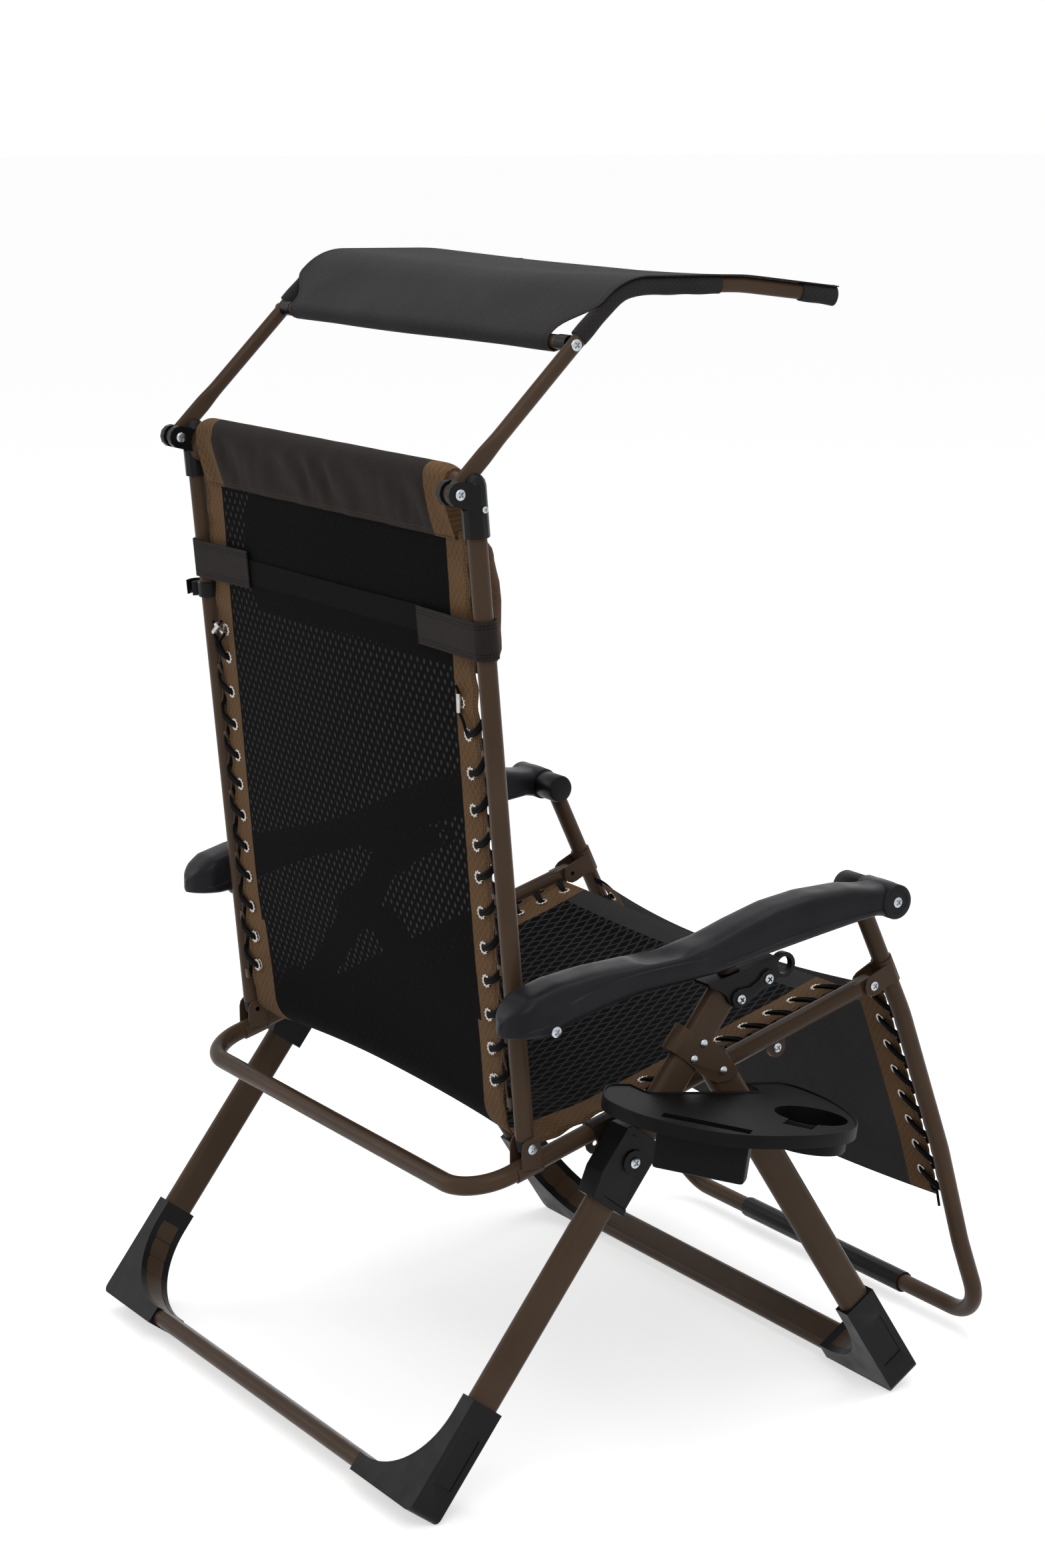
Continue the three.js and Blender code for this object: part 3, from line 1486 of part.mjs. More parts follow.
function canopyArm(side) {
  const rings = bentRings(
    canopyPoints.map((one) => at(side * slingHalf, one)),
    [canopyElbowRadius, canopyCrownRadius],
  );
  const start = rings[0];
  const extra = [bladeLong, bladeLong + bladeFade].map((distance) => ({
    point: start.point.clone().addScaledVector(start.tangent, distance),
    tangent: start.tangent,
  }));
  rings.splice(1, 0, ...extra);
  const tube = sweep(pipeSection(canopyTall, canopyTall, 0, roundSides, roundSides), rings, acrossChair);
  const spot = tube.attributes.position;
  const direction = new THREE.Vector2(...unit(canopyPivot, canopyElbow));
  for (let i = 0; i < spot.count; i += 1) {
    const reach = new THREE.Vector2(spot.getY(i) - canopyPivot[0], spot.getZ(i) - canopyPivot[1]);
    const run = reach.dot(direction);
    const blade = THREE.MathUtils.clamp((bladeLong + bladeFade - run) / bladeFade, 0, 1);
    const flat = THREE.MathUtils.lerp(
      canopyThin / canopyTall,
      bladeThinShare * canopyThin / canopyTall,
      blade,
    );
    const grown = THREE.MathUtils.lerp(0, bladeTallShare - 1, blade);
    const off = reach.addScaledVector(direction, -run);
    spot.setX(i, side * slingHalf + (spot.getX(i) - side * slingHalf) * flat);
    spot.setY(i, spot.getY(i) + off.x * grown);
    spot.setZ(i, spot.getZ(i) + off.y * grown);
  }
  const thin = canopyThin * bladeThinShare;
  const end = crossPin(
    canopyPivot,
    canopyTall * bladeTallShare,
    side * slingHalf - thin,
    side * slingHalf + thin,
    roundSides,
  );
  const bore = crossPin(
    canopyPivot,
    pinRadius + seam,
    side * slingHalf - cutReach,
    side * slingHalf + cutReach,
  );
  return cut(joined(tube, end), bore, canopyArmHollow(side));
}

// The bore of a canopy arm, from where the blade ends to its open tip
function canopyArmHollow(side) {
  const low = along(canopyPivot, unit(canopyPivot, canopyElbow), bladeLong + bladeFade);
  const high = along(canopyTip, unit(canopyCrown, canopyTip), overlap);
  const points = [low, canopyElbow, canopyCrown, high].map((one) => at(0, one));
  const inner = canopyTall - tubeWall;
  const section = pipeSection(inner, inner, 0, roundSides, roundSides);
  const bore = sweep(section, bentRings(points, [canopyElbowRadius, canopyCrownRadius]), acrossChair);
  return bore.scale((canopyThin - tubeWall) / inner, 1, 1).translate(side * slingHalf, 0, 0);
}

function canopyBar() {
  const reach = slingHalf - canopyThin - seam;
  const bar = crossPin(canopyBarAlong, canopyBarRadius, -reach, reach, roundSides);
  const ends = bothSides.map((side) => crossPin(
    canopyBarAlong,
    canopyBarPlug * half + overlap * 2,
    side * (reach - canopyBarPlugLong),
    side * reach,
    roundSides,
  ));
  const hollow = crossPin(
    canopyBarAlong,
    canopyBarRadius - tubeWall,
    -reach - overlap,
    reach + overlap,
    roundSides,
  );
  return cut(joined(bar, ...ends), hollow);
}

// Cloth that runs from its hem round the bar, over the arms and down to the arm tips
function canopyCloth() {
  const lift = canopyTall + clothLift + clothThick * half;
  const barUp = unit(canopyBarAlong, canopyElbow);
  const square = [barUp[1], -barUp[0]];
  const raise = ([back, up], direction) => along([back, up], [direction[1], -direction[0]], lift);
  const slope = unit(canopyPivot, canopyElbow);
  const crown = unit(canopyElbow, canopyCrown);
  const front = unit(canopyCrown, canopyTip);
  const meet = (a, u, b, v) => {
    const cross = u[0] * v[1] - u[1] * v[0];
    const run = ((b[0] - a[0]) * v[1] - (b[1] - a[1]) * v[0]) / cross;
    return along(a, u, run);
  };
  const first = raise(canopyBarAlong, slope);
  const elbow = meet(raise(canopyElbow, slope), slope, raise(canopyElbow, crown), crown);
  const bow = meet(raise(canopyCrown, crown), crown, raise(canopyCrown, front), front);
  const last = raise(along(canopyTip, front, clothTipPast), front);
  const points = [first, elbow, bow, last];
  const sheet = sweep(
    clothSection(),
    bentRings(points.map((one) => at(0, one)), [canopyElbowRadius + lift, canopyCrownRadius + lift]),
    acrossChair,
  );
  const hem = crossPin(canopyBarAlong, hemRadius, -clothHemHalf, clothHemHalf, roundSides);
  const hemFill = slantBox(
    along(canopyBarAlong, square, -lift * half),
    square,
    lift,
    clothThick * 2,
    -clothHemHalf,
    clothHemHalf,
  );
  const hollow = crossPin(canopyBarAlong, canopyBarRadius + seam * 2, -slingHalf, slingHalf, roundSides);
  return { sheet, hem, hemFill, hollow };
}

// Cloth section: flat between the arms, with a channel over each arm
function clothSection() {
  const reach = slingHalf;
  const inner = canopyThin + clothLift;
  const outer = inner + clothThick;
  const drop = canopyTall + clothLift;
  const upper = [[0, -reach - outer], [0, reach + outer]];
  const lower = [
    [-drop * 2, reach + outer], [-drop * 2, reach + inner], [-clothThick, reach + inner],
    [-clothThick, -reach - inner], [-drop * 2, -reach - inner], [-drop * 2, -reach - outer],
  ];
  const spots = [...upper, ...lower].map(([rise, x]) => new THREE.Vector2(-rise - clothThick * half, x));
  return new THREE.Shape(spots);
}

function buildCanopy() {
  const group = new THREE.Group();
  group.name = 'canopy';
  bothSides.forEach((side) => addMesh(group, `canopy_arm_${sideNames[side]}`, canopyArm(side), paint));
  addMesh(group, 'canopy_bar', canopyBar(), paint);
  const { sheet, hem, hemFill, hollow } = canopyCloth();
  const bare = bothSides.map((side) => new THREE.BoxGeometry(
    clothWindow[2],
    clothWindow[1] - clothWindow[0],
    cutReach,
  )
    .translate(
      side * (slingHalf + clothWindow[2] * half - canopyThin * 2),
      (clothWindow[1] + clothWindow[0]) * half,
      canopyCrown[1],
    ));
  addMesh(group, 'canopy_cloth', cut(joined(sheet, hem, hemFill), hollow, ...bare), charcoal);
  return group;
}

function buildLock(side) {
  const group = new THREE.Group();
  group.name = `lock_${sideNames[side]}`;
  addMesh(group, `lock_ring_${sideNames[side]}`, lockRing(side), moulding);
  return group;
}

const model = new THREE.Group();
model.name = 'sun_lounger_with_canopy';
model.add(buildBase(), buildFrontLegs(), buildSeat(), buildBack(), buildLegRest(), buildCanopy());
bothSides.forEach((side) => model.add(buildArm(side), buildLock(side)));

// The origin sits on the floor under the middle of the whole chair
const bounds = new THREE.Box3().setFromObject(model, true);
const middle = bounds.getCenter(new THREE.Vector3());
model.position.set(-middle.x, -middle.y, -bounds.min.z);

export default model;
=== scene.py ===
"""Looks of a reclining sun lounger with a swing canopy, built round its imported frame. Metres, +Z up."""
import math

import bmesh
import bpy
import numpy as np
from mathutils import Matrix, Vector


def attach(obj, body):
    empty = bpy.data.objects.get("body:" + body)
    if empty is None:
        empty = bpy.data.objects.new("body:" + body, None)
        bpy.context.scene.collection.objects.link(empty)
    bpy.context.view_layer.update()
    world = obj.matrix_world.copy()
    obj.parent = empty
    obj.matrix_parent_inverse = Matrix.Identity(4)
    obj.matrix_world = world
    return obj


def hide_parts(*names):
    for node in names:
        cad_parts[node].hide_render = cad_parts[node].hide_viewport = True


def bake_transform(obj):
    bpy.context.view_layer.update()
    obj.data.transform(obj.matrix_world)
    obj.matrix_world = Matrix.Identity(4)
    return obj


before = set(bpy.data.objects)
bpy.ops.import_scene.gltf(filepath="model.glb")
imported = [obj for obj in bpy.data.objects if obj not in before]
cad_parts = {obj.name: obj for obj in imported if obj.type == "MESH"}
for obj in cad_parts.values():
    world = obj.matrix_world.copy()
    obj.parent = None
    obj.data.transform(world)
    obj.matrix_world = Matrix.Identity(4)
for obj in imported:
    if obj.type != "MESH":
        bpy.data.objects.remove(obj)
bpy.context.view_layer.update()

# Frame of the drawing: millimetres from the mid-plane, the back pivot and the floor
SHIFT = Vector((82.0, 255.0802, 0.0623))
MM = 0.001
SIDES = {"right": -1, "left": 1}
X_AXIS = Vector((1, 0, 0))
TURN = 2 * math.pi

# Half spacings, the sling tube's radius, and the side-view places (back, up) that sub-parts share
SLING_X, LEG_X, TUBE = 323.0, 373.0, 11.0
SEAT_PIVOT, BACK_PIVOT, KNEE = (-102.5, 376.0), (0.0, 396.0), (-490.0, 506.0)
ARM_REAR, ARM_FRONT, FOLD = (12.0, 553.0), (-467.0, 628.0), (-229.0, 461.0)
CANOPY_PIVOT = (89.0, 1140.0)
RAIL_SLOPE, RAIL_BACK, RAIL_HIGH = 0.2743, 73.7, 351.4
BACK_SLOPE, HEAD_BAR, BACK_CORNER = 0.0859, 1152.0, 58.0


def at(x, y, z):
    """A place of the drawing, in the frame of the part."""
    return Vector((x + SHIFT.x, y + SHIFT.y, z + SHIFT.z)) * MM


def side_view(point):
    """The side-view place of a point of the part."""
    return point.y / MM - SHIFT.y, point.z / MM - SHIFT.z


def rail_at(y):
    return (y, RAIL_HIGH + (RAIL_BACK - y) * RAIL_SLOPE)


def back_at(z):
    return ((z - BACK_PIVOT[1]) * BACK_SLOPE, z)


def unit(a, b):
    """The direction from a to b in side view."""
    run = math.hypot(b[0] - a[0], b[1] - a[1])
    return ((b[0] - a[0]) / run, (b[1] - a[1]) / run)


def along(p, d, run):
    return (p[0] + d[0] * run, p[1] + d[1] * run)


def up_to(p, d, z):
    """The place at height z on the line through p."""
    return along(p, d, (z - p[1]) / d[1])


def behind(d):
    """The direction square to d, which points to the rear where d points up."""
    return (d[1], -d[0])


def ease(value, low, high):
    t = min(1.0, max(0.0, (value - low) / (high - low)))
    return t * t * (3 - 2 * t)


BACK_UP = unit((0, 0), (BACK_SLOPE, 1))
RAIL_UP = unit((0, 0), (-1, RAIL_SLOPE))


# Materials
def shade(colour, share):
    return tuple(c * share for c in colour)


class Graph:
    """A small helper round one material's nodes."""

    def __init__(self, name, base, rough, metallic=0.0, shine=0.4):
        self.mat = bpy.data.materials.new(name)
        self.mat.use_nodes = True
        self.nodes = self.mat.node_tree.nodes
        self.links = self.mat.node_tree.links
        self.base = base
        self.sockets = self.nodes["Principled BSDF"].inputs
        for key, value in (("Base Color", (*base, 1)), ("Roughness", rough), ("Metallic", metallic),
                           ("Specular IOR Level", shine)):
            self.feed(self.sockets[key], value)

    def feed(self, socket, value):
        if isinstance(value, bpy.types.NodeSocket):
            self.links.new(value, socket)
        else:
            socket.default_value = value

    def node(self, kind, **inputs):
        made = self.nodes.new(kind)
        for key, value in inputs.items():
            self.feed(made.inputs[key], value)
        return made

    def math(self, kind, *values):
        made = self.nodes.new("ShaderNodeMath")
        made.operation = kind
        for socket, value in zip(made.inputs, values):
            self.feed(socket, value)
        return made.outputs[0]

    def plus(self, a, b):
        return self.math("ADD", a, b)

    def times(self, a, b):
        return self.math("MULTIPLY", a, b)

    def over(self, a, b):
        return self.math("DIVIDE", a, b)

    def place(self):
        return self.nodes.new("ShaderNodeTexCoord").outputs["Object"]

    def uv(self, name="flat"):
        made = self.nodes.new("ShaderNodeUVMap")
        made.uv_map = name
        split = self.node("ShaderNodeSeparateXYZ", Vector=made.outputs[0])
        return split.outputs[0], split.outputs[1]

    def noise(self, scale, detail=2.0):
        return self.node("ShaderNodeTexNoise", Vector=self.place(), Scale=scale, Detail=detail).outputs["Fac"]

    def mix(self, share, a, b):
        made = self.nodes.new("ShaderNodeMix")
        made.data_type = "RGBA"
        self.feed(made.inputs[0], share)
        self.feed(made.inputs[6], (*a, 1) if isinstance(a, tuple) else a)
        self.feed(made.inputs[7], (*b, 1) if isinstance(b, tuple) else b)
        return made.outputs[2]

    def span(self, value, low, high, to_low=0.0, to_high=1.0):
        made = self.nodes.new("ShaderNodeMapRange")
        limits = {"Value": value, "From Min": low, "From Max": high, "To Min": to_low, "To Max": to_high}
        for key, one in limits.items():
            self.feed(made.inputs[key], one)
        return made.outputs[0]

    def mottle(self, scale, detail, low, high, dark, light):
        """The base colour, in turns darker and lighter by the shares dark and light."""
        drift = self.span(self.noise(scale, detail), low, high)
        return self.mix(drift, shade(self.base, dark), shade(self.base, light))

    def colour(self, socket):
        self.links.new(socket, self.sockets["Base Color"])

    def rough(self, socket):
        self.links.new(socket, self.sockets["Roughness"])

    def bump(self, height, distance, strength):
        made = self.node("ShaderNodeBump", Height=height, Distance=distance, Strength=strength)
        self.links.new(made.outputs[0], self.sockets["Normal"])


def paint_material():
    g = Graph("brown_satin_paint", (0.0635, 0.0385, 0.0228), 0.4, shine=0.11)
    g.colour(g.mottle(9.0, 3.0, 0.35, 0.7, 0.86, 1.12))
    g.rough(g.span(g.noise(60.0, 4.0), 0.3, 0.7, 0.3, 0.42))
    g.bump(g.noise(1400.0), 0.00012, 0.35)
    return g.mat


def plastic_material(name, base, rough, grain=900.0, deep=0.00012, shine=0.13):
    g = Graph(name, base, rough, shine=shine)
    g.colour(g.mottle(14.0, 3.0, 0.3, 0.75, 0.8, 1.35))
    g.rough(g.span(g.noise(45.0, 3.0), 0.3, 0.7, rough - 0.05, rough + 0.08))
    g.bump(g.noise(grain, 3.0), deep, 0.5)
    return g.mat


def leathery_material():
    g = Graph("tray_leather_grain", (0.0042, 0.0038, 0.0041), 0.5, shine=0.085)
    cells = g.node("ShaderNodeTexVoronoi", Vector=g.place(), Scale=480.0)
    g.colour(g.mottle(20.0, 2.0, 0.3, 0.7, 0.8, 1.3))
    g.bump(g.plus(cells.outputs["Distance"], g.times(g.noise(700.0, 4.0), 0.6)), 0.0004, 0.6)
    return g.mat


def metal_material(name, base, rough):
    g = Graph(name, base, rough, metallic=1.0)
    g.rough(g.span(g.noise(220.0, 3.0), 0.3, 0.7, rough, rough + 0.12))
    g.colour(g.mottle(90.0, 2.0, 0.3, 0.7, 0.85, 1.0))
    g.bump(g.noise(900.0), 0.00005, 0.3)
    return g.mat


def diamonds(g, wide, tall, line):
    """0 to 1: the ridge lines of a lattice of diamonds, in metres on the flat cloth."""
    u, v = g.uv()
    a, b = g.over(u, wide), g.over(v, tall)
    lines = [g.span(g.math("PINGPONG", turned, 0.5), 0.0, line, 1.0, 0.0)
             for turned in (g.plus(a, b), g.math("SUBTRACT", a, b))]
    return g.math("MAXIMUM", *lines)


def fine_weave(g, pitch):
    across, down = [g.math("SINE", g.times(way, TURN / pitch)) for way in g.uv()]
    return g.times(across, down)


def stitches(g, rows, pitch=0.0042, thick=0.001):
    """Dashes that run along v at given distances from the piece's edge, held in the map named edge."""
    u, v = g.uv("edge")
    dash = g.span(g.math("PINGPONG", g.over(v, pitch), 0.5), 0.1, 0.16)
    nears = [g.math("ABSOLUTE", g.math("SUBTRACT", u, row)) for row in rows]
    lines = [g.span(near, thick * 0.6, thick, 1.0, 0.0) for near in nears]
    return g.times(g.math("MAXIMUM", *lines), dash)


def ripstop_material(name, base, light, wide=0.0062, tall=0.0075, rows=(), sheen=0.05, thread=None):
    """Plain cloth with a raised lattice of diamonds and, where rows are given, two stitched rows."""
    g = Graph(name, base, 0.8, shine=0.12)
    g.sockets["Sheen Weight"].default_value = sheen
    g.sockets["Sheen Roughness"].default_value = 0.45
    ridge = diamonds(g, wide, tall, 0.1)
    tone = g.mix(g.times(ridge, 0.6), g.mottle(16.0, 3.0, 0.3, 0.72, 0.82, 1.15), light)
    height = g.plus(ridge, g.times(fine_weave(g, 0.0008), 0.25))
    if rows:
        seam = stitches(g, rows)
        tone = g.mix(g.times(seam, 0.85), tone, thread or shade(base, 0.35))
        height = g.math("SUBTRACT", height, g.times(seam, 3.0))
    g.colour(tone)
    g.bump(g.plus(height, g.times(g.noise(70.0, 3.0), 2.5)), 0.00035, 0.8)
    return g.mat


# The back lets light through from the sling's upper end down to this run, and the seat doesn't
SEE_THROUGH_RUN, SEE_THROUGH_FADE = 0.6, 0.07


def back_dashes(g):
    """0 to 1: soft upright dashes in staggered columns, in metres on the flat cloth."""
    u, v = g.uv()
    column = g.over(u, 0.0066)
    row = g.plus(g.over(v, 0.0174), g.times(g.math("FLOOR", column), 0.5))
    parts = []
    for value, narrow in ((column, 2.6), (row, 4.6)):
        off = g.math("ABSOLUTE", g.math("SUBTRACT", g.math("FRACT", value), 0.5))
        parts.append(g.math("POWER", g.times(off, narrow), 2.0))
    return g.span(g.plus(*parts), 0.1, 1.0, 1.0, 0.0)


def see_through(g, share):
    """Lets a share of the light through the cloth of the back, and none through the seat's."""
    back = g.span(g.uv()[1], SEE_THROUGH_RUN, SEE_THROUGH_RUN + SEE_THROUGH_FADE, 1.0, 0.0)
    clear = g.nodes.new("ShaderNodeBsdfTransparent")
    blend = g.nodes.new("ShaderNodeMixShader")
    for socket, value in zip(blend.inputs, (g.times(share, back), g.nodes["Principled BSDF"].outputs[0],
                                            clear.outputs[0])):
        g.links.new(value, socket)
    g.links.new(blend.outputs[0], g.nodes["Material Output"].inputs[0])


def back_mesh_material():
    """The rear face of the sling: close black mesh that lets light through in rows of short dashes."""
    g = Graph("sling_rear_mesh", (0.0058, 0.0054, 0.0054), 0.85, shine=0.03)
    dash = back_dashes(g)
    # The dashes are also painted a little lighter than the mesh: painted light standing in for the light that
    # shows through them, on top of the see-through below.
    g.colour(g.mix(g.times(dash, 0.5), g.base, (0.012, 0.011, 0.0105)))
    g.bump(g.plus(fine_weave(g, 0.0022), g.times(dash, -1.0)), 0.0003, 0.3)
    see_through(g, g.times(dash, 0.056))
    return g.mat


def lattice_material():
    """The sitter's face of the sling: an open diamond net over the close mesh."""
    g = Graph("sling_front_lattice", (0.012, 0.012, 0.012), 0.8, shine=0.03)
    ridge = diamonds(g, 0.0162, 0.0285, 0.17)
    g.colour(g.mix(ridge, (0.0017, 0.0017, 0.0017), (0.038, 0.037, 0.038)))
    g.bump(ridge, 0.0012, 0.5)
    see_through(g, 0.45)
    return g.mat


def webbing_material(name, base):
    g = Graph(name, base, 0.85, shine=0.05)
    rib = g.math("PINGPONG", g.over(g.uv()[1], 0.0016), 0.5)
    g.colour(g.mix(rib, shade(base, 0.7), shade(base, 1.5)))
    g.bump(g.plus(rib, fine_weave(g, 0.0012)), 0.0003, 0.7)
    return g.mat


def cord_material():
    """Braid: two sets of threads that cross, round and along the cord."""
    g = Graph("elastic_cord", (0.0028, 0.0028, 0.003), 0.7, shine=0.06)
    u, v = g.uv()
    strands = [g.math("PINGPONG", g.math(way, g.over(v, 0.0022), g.times(u, 3.0)), 0.5)
               for way in ("ADD", "SUBTRACT")]
    braid = g.math("MAXIMUM", *strands)
    g.colour(g.mix(braid, (0.0014, 0.0014, 0.0014), (0.0068, 0.0066, 0.0068)))
    g.bump(braid, 0.0004, 0.7)
    return g.mat


PAINT = paint_material()
DARK_PAINT = plastic_material("dark_bracket_paint", (0.02, 0.015, 0.0125), 0.38)
PLASTIC = plastic_material("black_satin_plastic", (0.0052, 0.0052, 0.0057), 0.38)
ARM_PLASTIC = plastic_material("arm_moulding", (0.0128, 0.0129, 0.0158), 0.33, 1300.0, 0.00009, 0.1)
TRAY_PLASTIC = leathery_material()
ZINC = metal_material("zinc_screw", (0.5, 0.54, 0.57), 0.28)
CHROME = metal_material("chrome_eyelet", (0.5, 0.48, 0.45), 0.26)
TAN = ripstop_material("tan_ripstop", (0.116, 0.062, 0.026), (0.225, 0.13, 0.062), 0.0098, 0.0122,
                       (0.003, 0.0065), 0.03)
TAN_PLAIN = ripstop_material("tan_pillow_cloth", (0.078, 0.04, 0.0185), (0.115, 0.064, 0.033), 0.0085, 0.0105)
CHARCOAL = ripstop_material("charcoal_ripstop", (0.0205, 0.0187, 0.0187), (0.0365, 0.034, 0.0338),
                            rows=(0.004, 0.0075))
SLEEVE_CLOTH = ripstop_material("sleeve_brown_grey", (0.0158, 0.0112, 0.0098), (0.0235, 0.017, 0.015),
                                rows=(0.007, 0.0105), sheen=0.02, thread=(0.05, 0.031, 0.02))
TAB_CLOTH = ripstop_material("strap_tab_cloth", (0.0185, 0.0145, 0.0135), (0.031, 0.0245, 0.0228),
                             rows=(0.004, 0.0075), sheen=0.02)
REAR_MESH = back_mesh_material()
LATTICE = lattice_material()
ELASTIC_BAND = webbing_material("elastic_band", (0.0072, 0.0068, 0.0072))
CORD = cord_material()


# Mesh helpers: a shape is (verts, faces, flat map)
def add(name, shape, mats, body, slot, stands=(), ids=None, maps=None, sharp=35.0, blend=None):
    """One piece, with its materials and maps, its body and the nodes it stands for. Its slot is not used."""
    mesh = bpy.data.meshes.new(name)
    mesh.from_pydata([tuple(v) for v in shape[0]], [], shape[1])
    for mat in mats if isinstance(mats, list) else [mats]:
        mesh.materials.append(mat)
    if ids:
        mesh.polygons.foreach_set("material_index", ids)
    for key, coords in (maps or {}).items():
        layer = mesh.uv_layers.new(name=key)
        corner = np.zeros(len(mesh.loops), int)
        mesh.loops.foreach_get("vertex_index", corner)
        layer.data.foreach_set("uv", np.asarray(coords, np.float32)[corner].ravel())
    mesh.polygons.foreach_set("use_smooth", [True] * len(mesh.polygons))
    mesh.update()
    if sharp:
        mesh.set_sharp_from_angle(angle=math.radians(sharp))
    piece = bpy.data.objects.new(name, mesh)
    bpy.context.scene.collection.objects.link(piece)
    if blend:
        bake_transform(piece)
    else:
        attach(piece, body)
    if stands:
        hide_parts(*stands)
    return piece


def outward(piece):
    """The piece with all its faces turned outward."""
    grid = bmesh.new()
    grid.from_mesh(piece.data)
    bmesh.ops.recalc_face_normals(grid, faces=grid.faces)
    grid.to_mesh(piece.data)
    grid.free()
    return piece


def walls(count, n, ring=False):
    """Faces over count loops of n points; without ring, the first and last loops are filled."""
    faces = []
    for j in range(count if ring else count - 1):
        a, b = j * n, (j + 1) % count * n
        faces += [(a + i, a + (i + 1) % n, b + (i + 1) % n, b + i) for i in range(n)]
    if not ring:
        last = (count - 1) * n
        faces += [tuple(range(n))[::-1], tuple(range(last, last + n))]
    return faces


def skin(loops, ring=False):
    """A closed skin over loops of as many points."""
    verts = [v for loop in loops for v in loop]
    return verts, walls(len(loops), len(loops[0]), ring), [(0, 0)] * len(verts)


def merge(*parts):
    verts, faces, flat = [], [], []
    for part_verts, part_faces, part_flat in parts:
        base = len(verts)
        verts += list(part_verts)
        flat += list(part_flat)
        faces += [tuple(i + base for i in face) for face in part_faces]
    return verts, faces, flat


def runs(points):
    """How far along its path each point is."""
    out = [0.0]
    for a, b in zip(points, points[1:]):
        out.append(out[-1] + (b - a).length)
    return out


def bent(points, radii, step=4.0):
    """Rings of a path with straight runs and round bends: (point, tangent)."""
    rings = [(points[0], (points[1] - points[0]).normalized())]
    for i in range(1, len(points) - 1):
        into = (points[i] - points[i - 1]).normalized()
        out = (points[i + 1] - points[i]).normalized()
        turn = into.angle(out)
        radius = radii[i - 1] * MM
        inward = (out - into * into.dot(out)).normalized()
        centre = points[i] - into * radius * math.tan(turn / 2) + inward * radius
        count = max(2, math.ceil(math.degrees(turn) / step))
        for k in range(count + 1):
            a = turn * k / count
            rings.append((centre - inward * radius * math.cos(a) + into * radius * math.sin(a),
                          (into * math.cos(a) + inward * math.sin(a)).normalized()))
    rings.append((points[-1], (points[-1] - points[-2]).normalized()))
    return rings


def resample(rings, step):
    """Evenly spaced rings along a path, with its tangents."""
    places = runs([point for point, tangent in rings])
    count = max(2, int(round(places[-1] / step)))
    out, j = [], 0
    for k in range(count + 1):
        want = places[-1] * k / count
        while j < len(places) - 2 and places[j + 1] < want:
            j += 1
        t = (want - places[j]) / max(1e-9, places[j + 1] - places[j])
        (a, tangent_a), (b, tangent_b) = rings[j], rings[j + 1]
        out.append((a.lerp(b, t), tangent_a.lerp(tangent_b, t).normalized()))
    return out


def smooth_line(points, steps):
    """A smooth curve through the points (Catmull-Rom)."""
    out = []
    p = [points[0] * 2 - points[1], *points, points[-1] * 2 - points[-2]]
    for a, b, c, d in zip(p, p[1:], p[2:], p[3:]):
        for t in (k / steps for k in range(steps)):
            out.append(0.5 * (b * 2 + (c - a) * t + (a * 2 - b * 5 + c * 4 - d) * t ** 2
                              + (b * 3 - c * 3 + d - a) * t ** 3))
    out.append(points[-1])
    return out


def circle(centre, radius, count=64):
    return [(centre[0] + radius * math.cos(TURN * k / count), centre[1] + radius * math.sin(TURN * k / count))
            for k in range(count)]


def oval(thin, wide, sides=28):
    """A flat-oval section in metres: two half rounds with flats between them."""
    spots = []
    for i in range(sides):
        a = (i + 0.5) / sides * TURN
        lift = math.sin(a) * thin + math.copysign(wide - thin, math.sin(a))
        spots.append((math.cos(a) * thin * MM, lift * MM))
    return spots


def sweep(section, rings, across, scale=None):
    """A section swept along rings; its flat map holds the share round it and the run along it."""
    verts, flat = [], []
    for j, ((point, tangent), run) in enumerate(zip(rings, runs([ring[0] for ring in rings]))):
        b = (across - tangent * across.dot(tangent)).normalized()
        normal = b.cross(tangent).normalized()
        size = scale[j] if scale else 1.0
        for i, (p, q) in enumerate(section):
            verts.append(point + normal * p * size + b * q * size)
            flat.append((i / len(section), run))
    return verts, walls(len(rings), len(section)), flat


def line_sweep(points, radius, sides=8):
    """A round cord along free points, with frames that don't twist."""
    tangents = [(after - before).normalized()
                for before, after in zip(points[:1] + points, points[1:] + points[-1:])]
    normal = tangents[0].orthogonal().normalized()
    verts, flat = [], []
    for point, tangent, run in zip(points, tangents, runs(points)):
        normal = (normal - tangent * normal.dot(tangent)).normalized()
        b = tangent.cross(normal)
        for i in range(sides):
            a = TURN * i / sides
            verts.append(point + (normal * math.cos(a) + b * math.sin(a)) * radius * MM)
            flat.append((i / sides, run))
    return verts, walls(len(points), sides), flat


def axes(axis):
    """The axis as a unit vector, with two others square to it."""
    axis = axis.normalized()
    u = axis.orthogonal().normalized()
    return axis, u, axis.cross(u)


def torus(centre, axis, ring, thick, toothed=False, turns=40, sides=8):
    """A flattened ring round an axis; toothed, it is the back of a pressed eyelet."""
    axis, u, w = axes(axis)
    tooth, flatten = thick * 0.85, 0.7
    verts, faces, flat = [], [], []
    for i in range(turns):
        out = u * math.cos(TURN * i / turns) + w * math.sin(TURN * i / turns)
        reach = ring + (tooth if toothed and i % 4 < 2 else 0.0)
        for k in range(sides):
            b = TURN * k / sides
            off, lift = reach + thick * math.cos(b), thick * flatten * math.sin(b)
            verts.append(centre + out * off * MM + axis * lift * MM)
            flat.append((i / turns, k / sides))
            i_next, k_next = (i + 1) % turns * sides, (k + 1) % sides
            faces.append((i * sides + k, i_next + k, i_next + k_next, i * sides + k_next))
    return verts, faces, flat


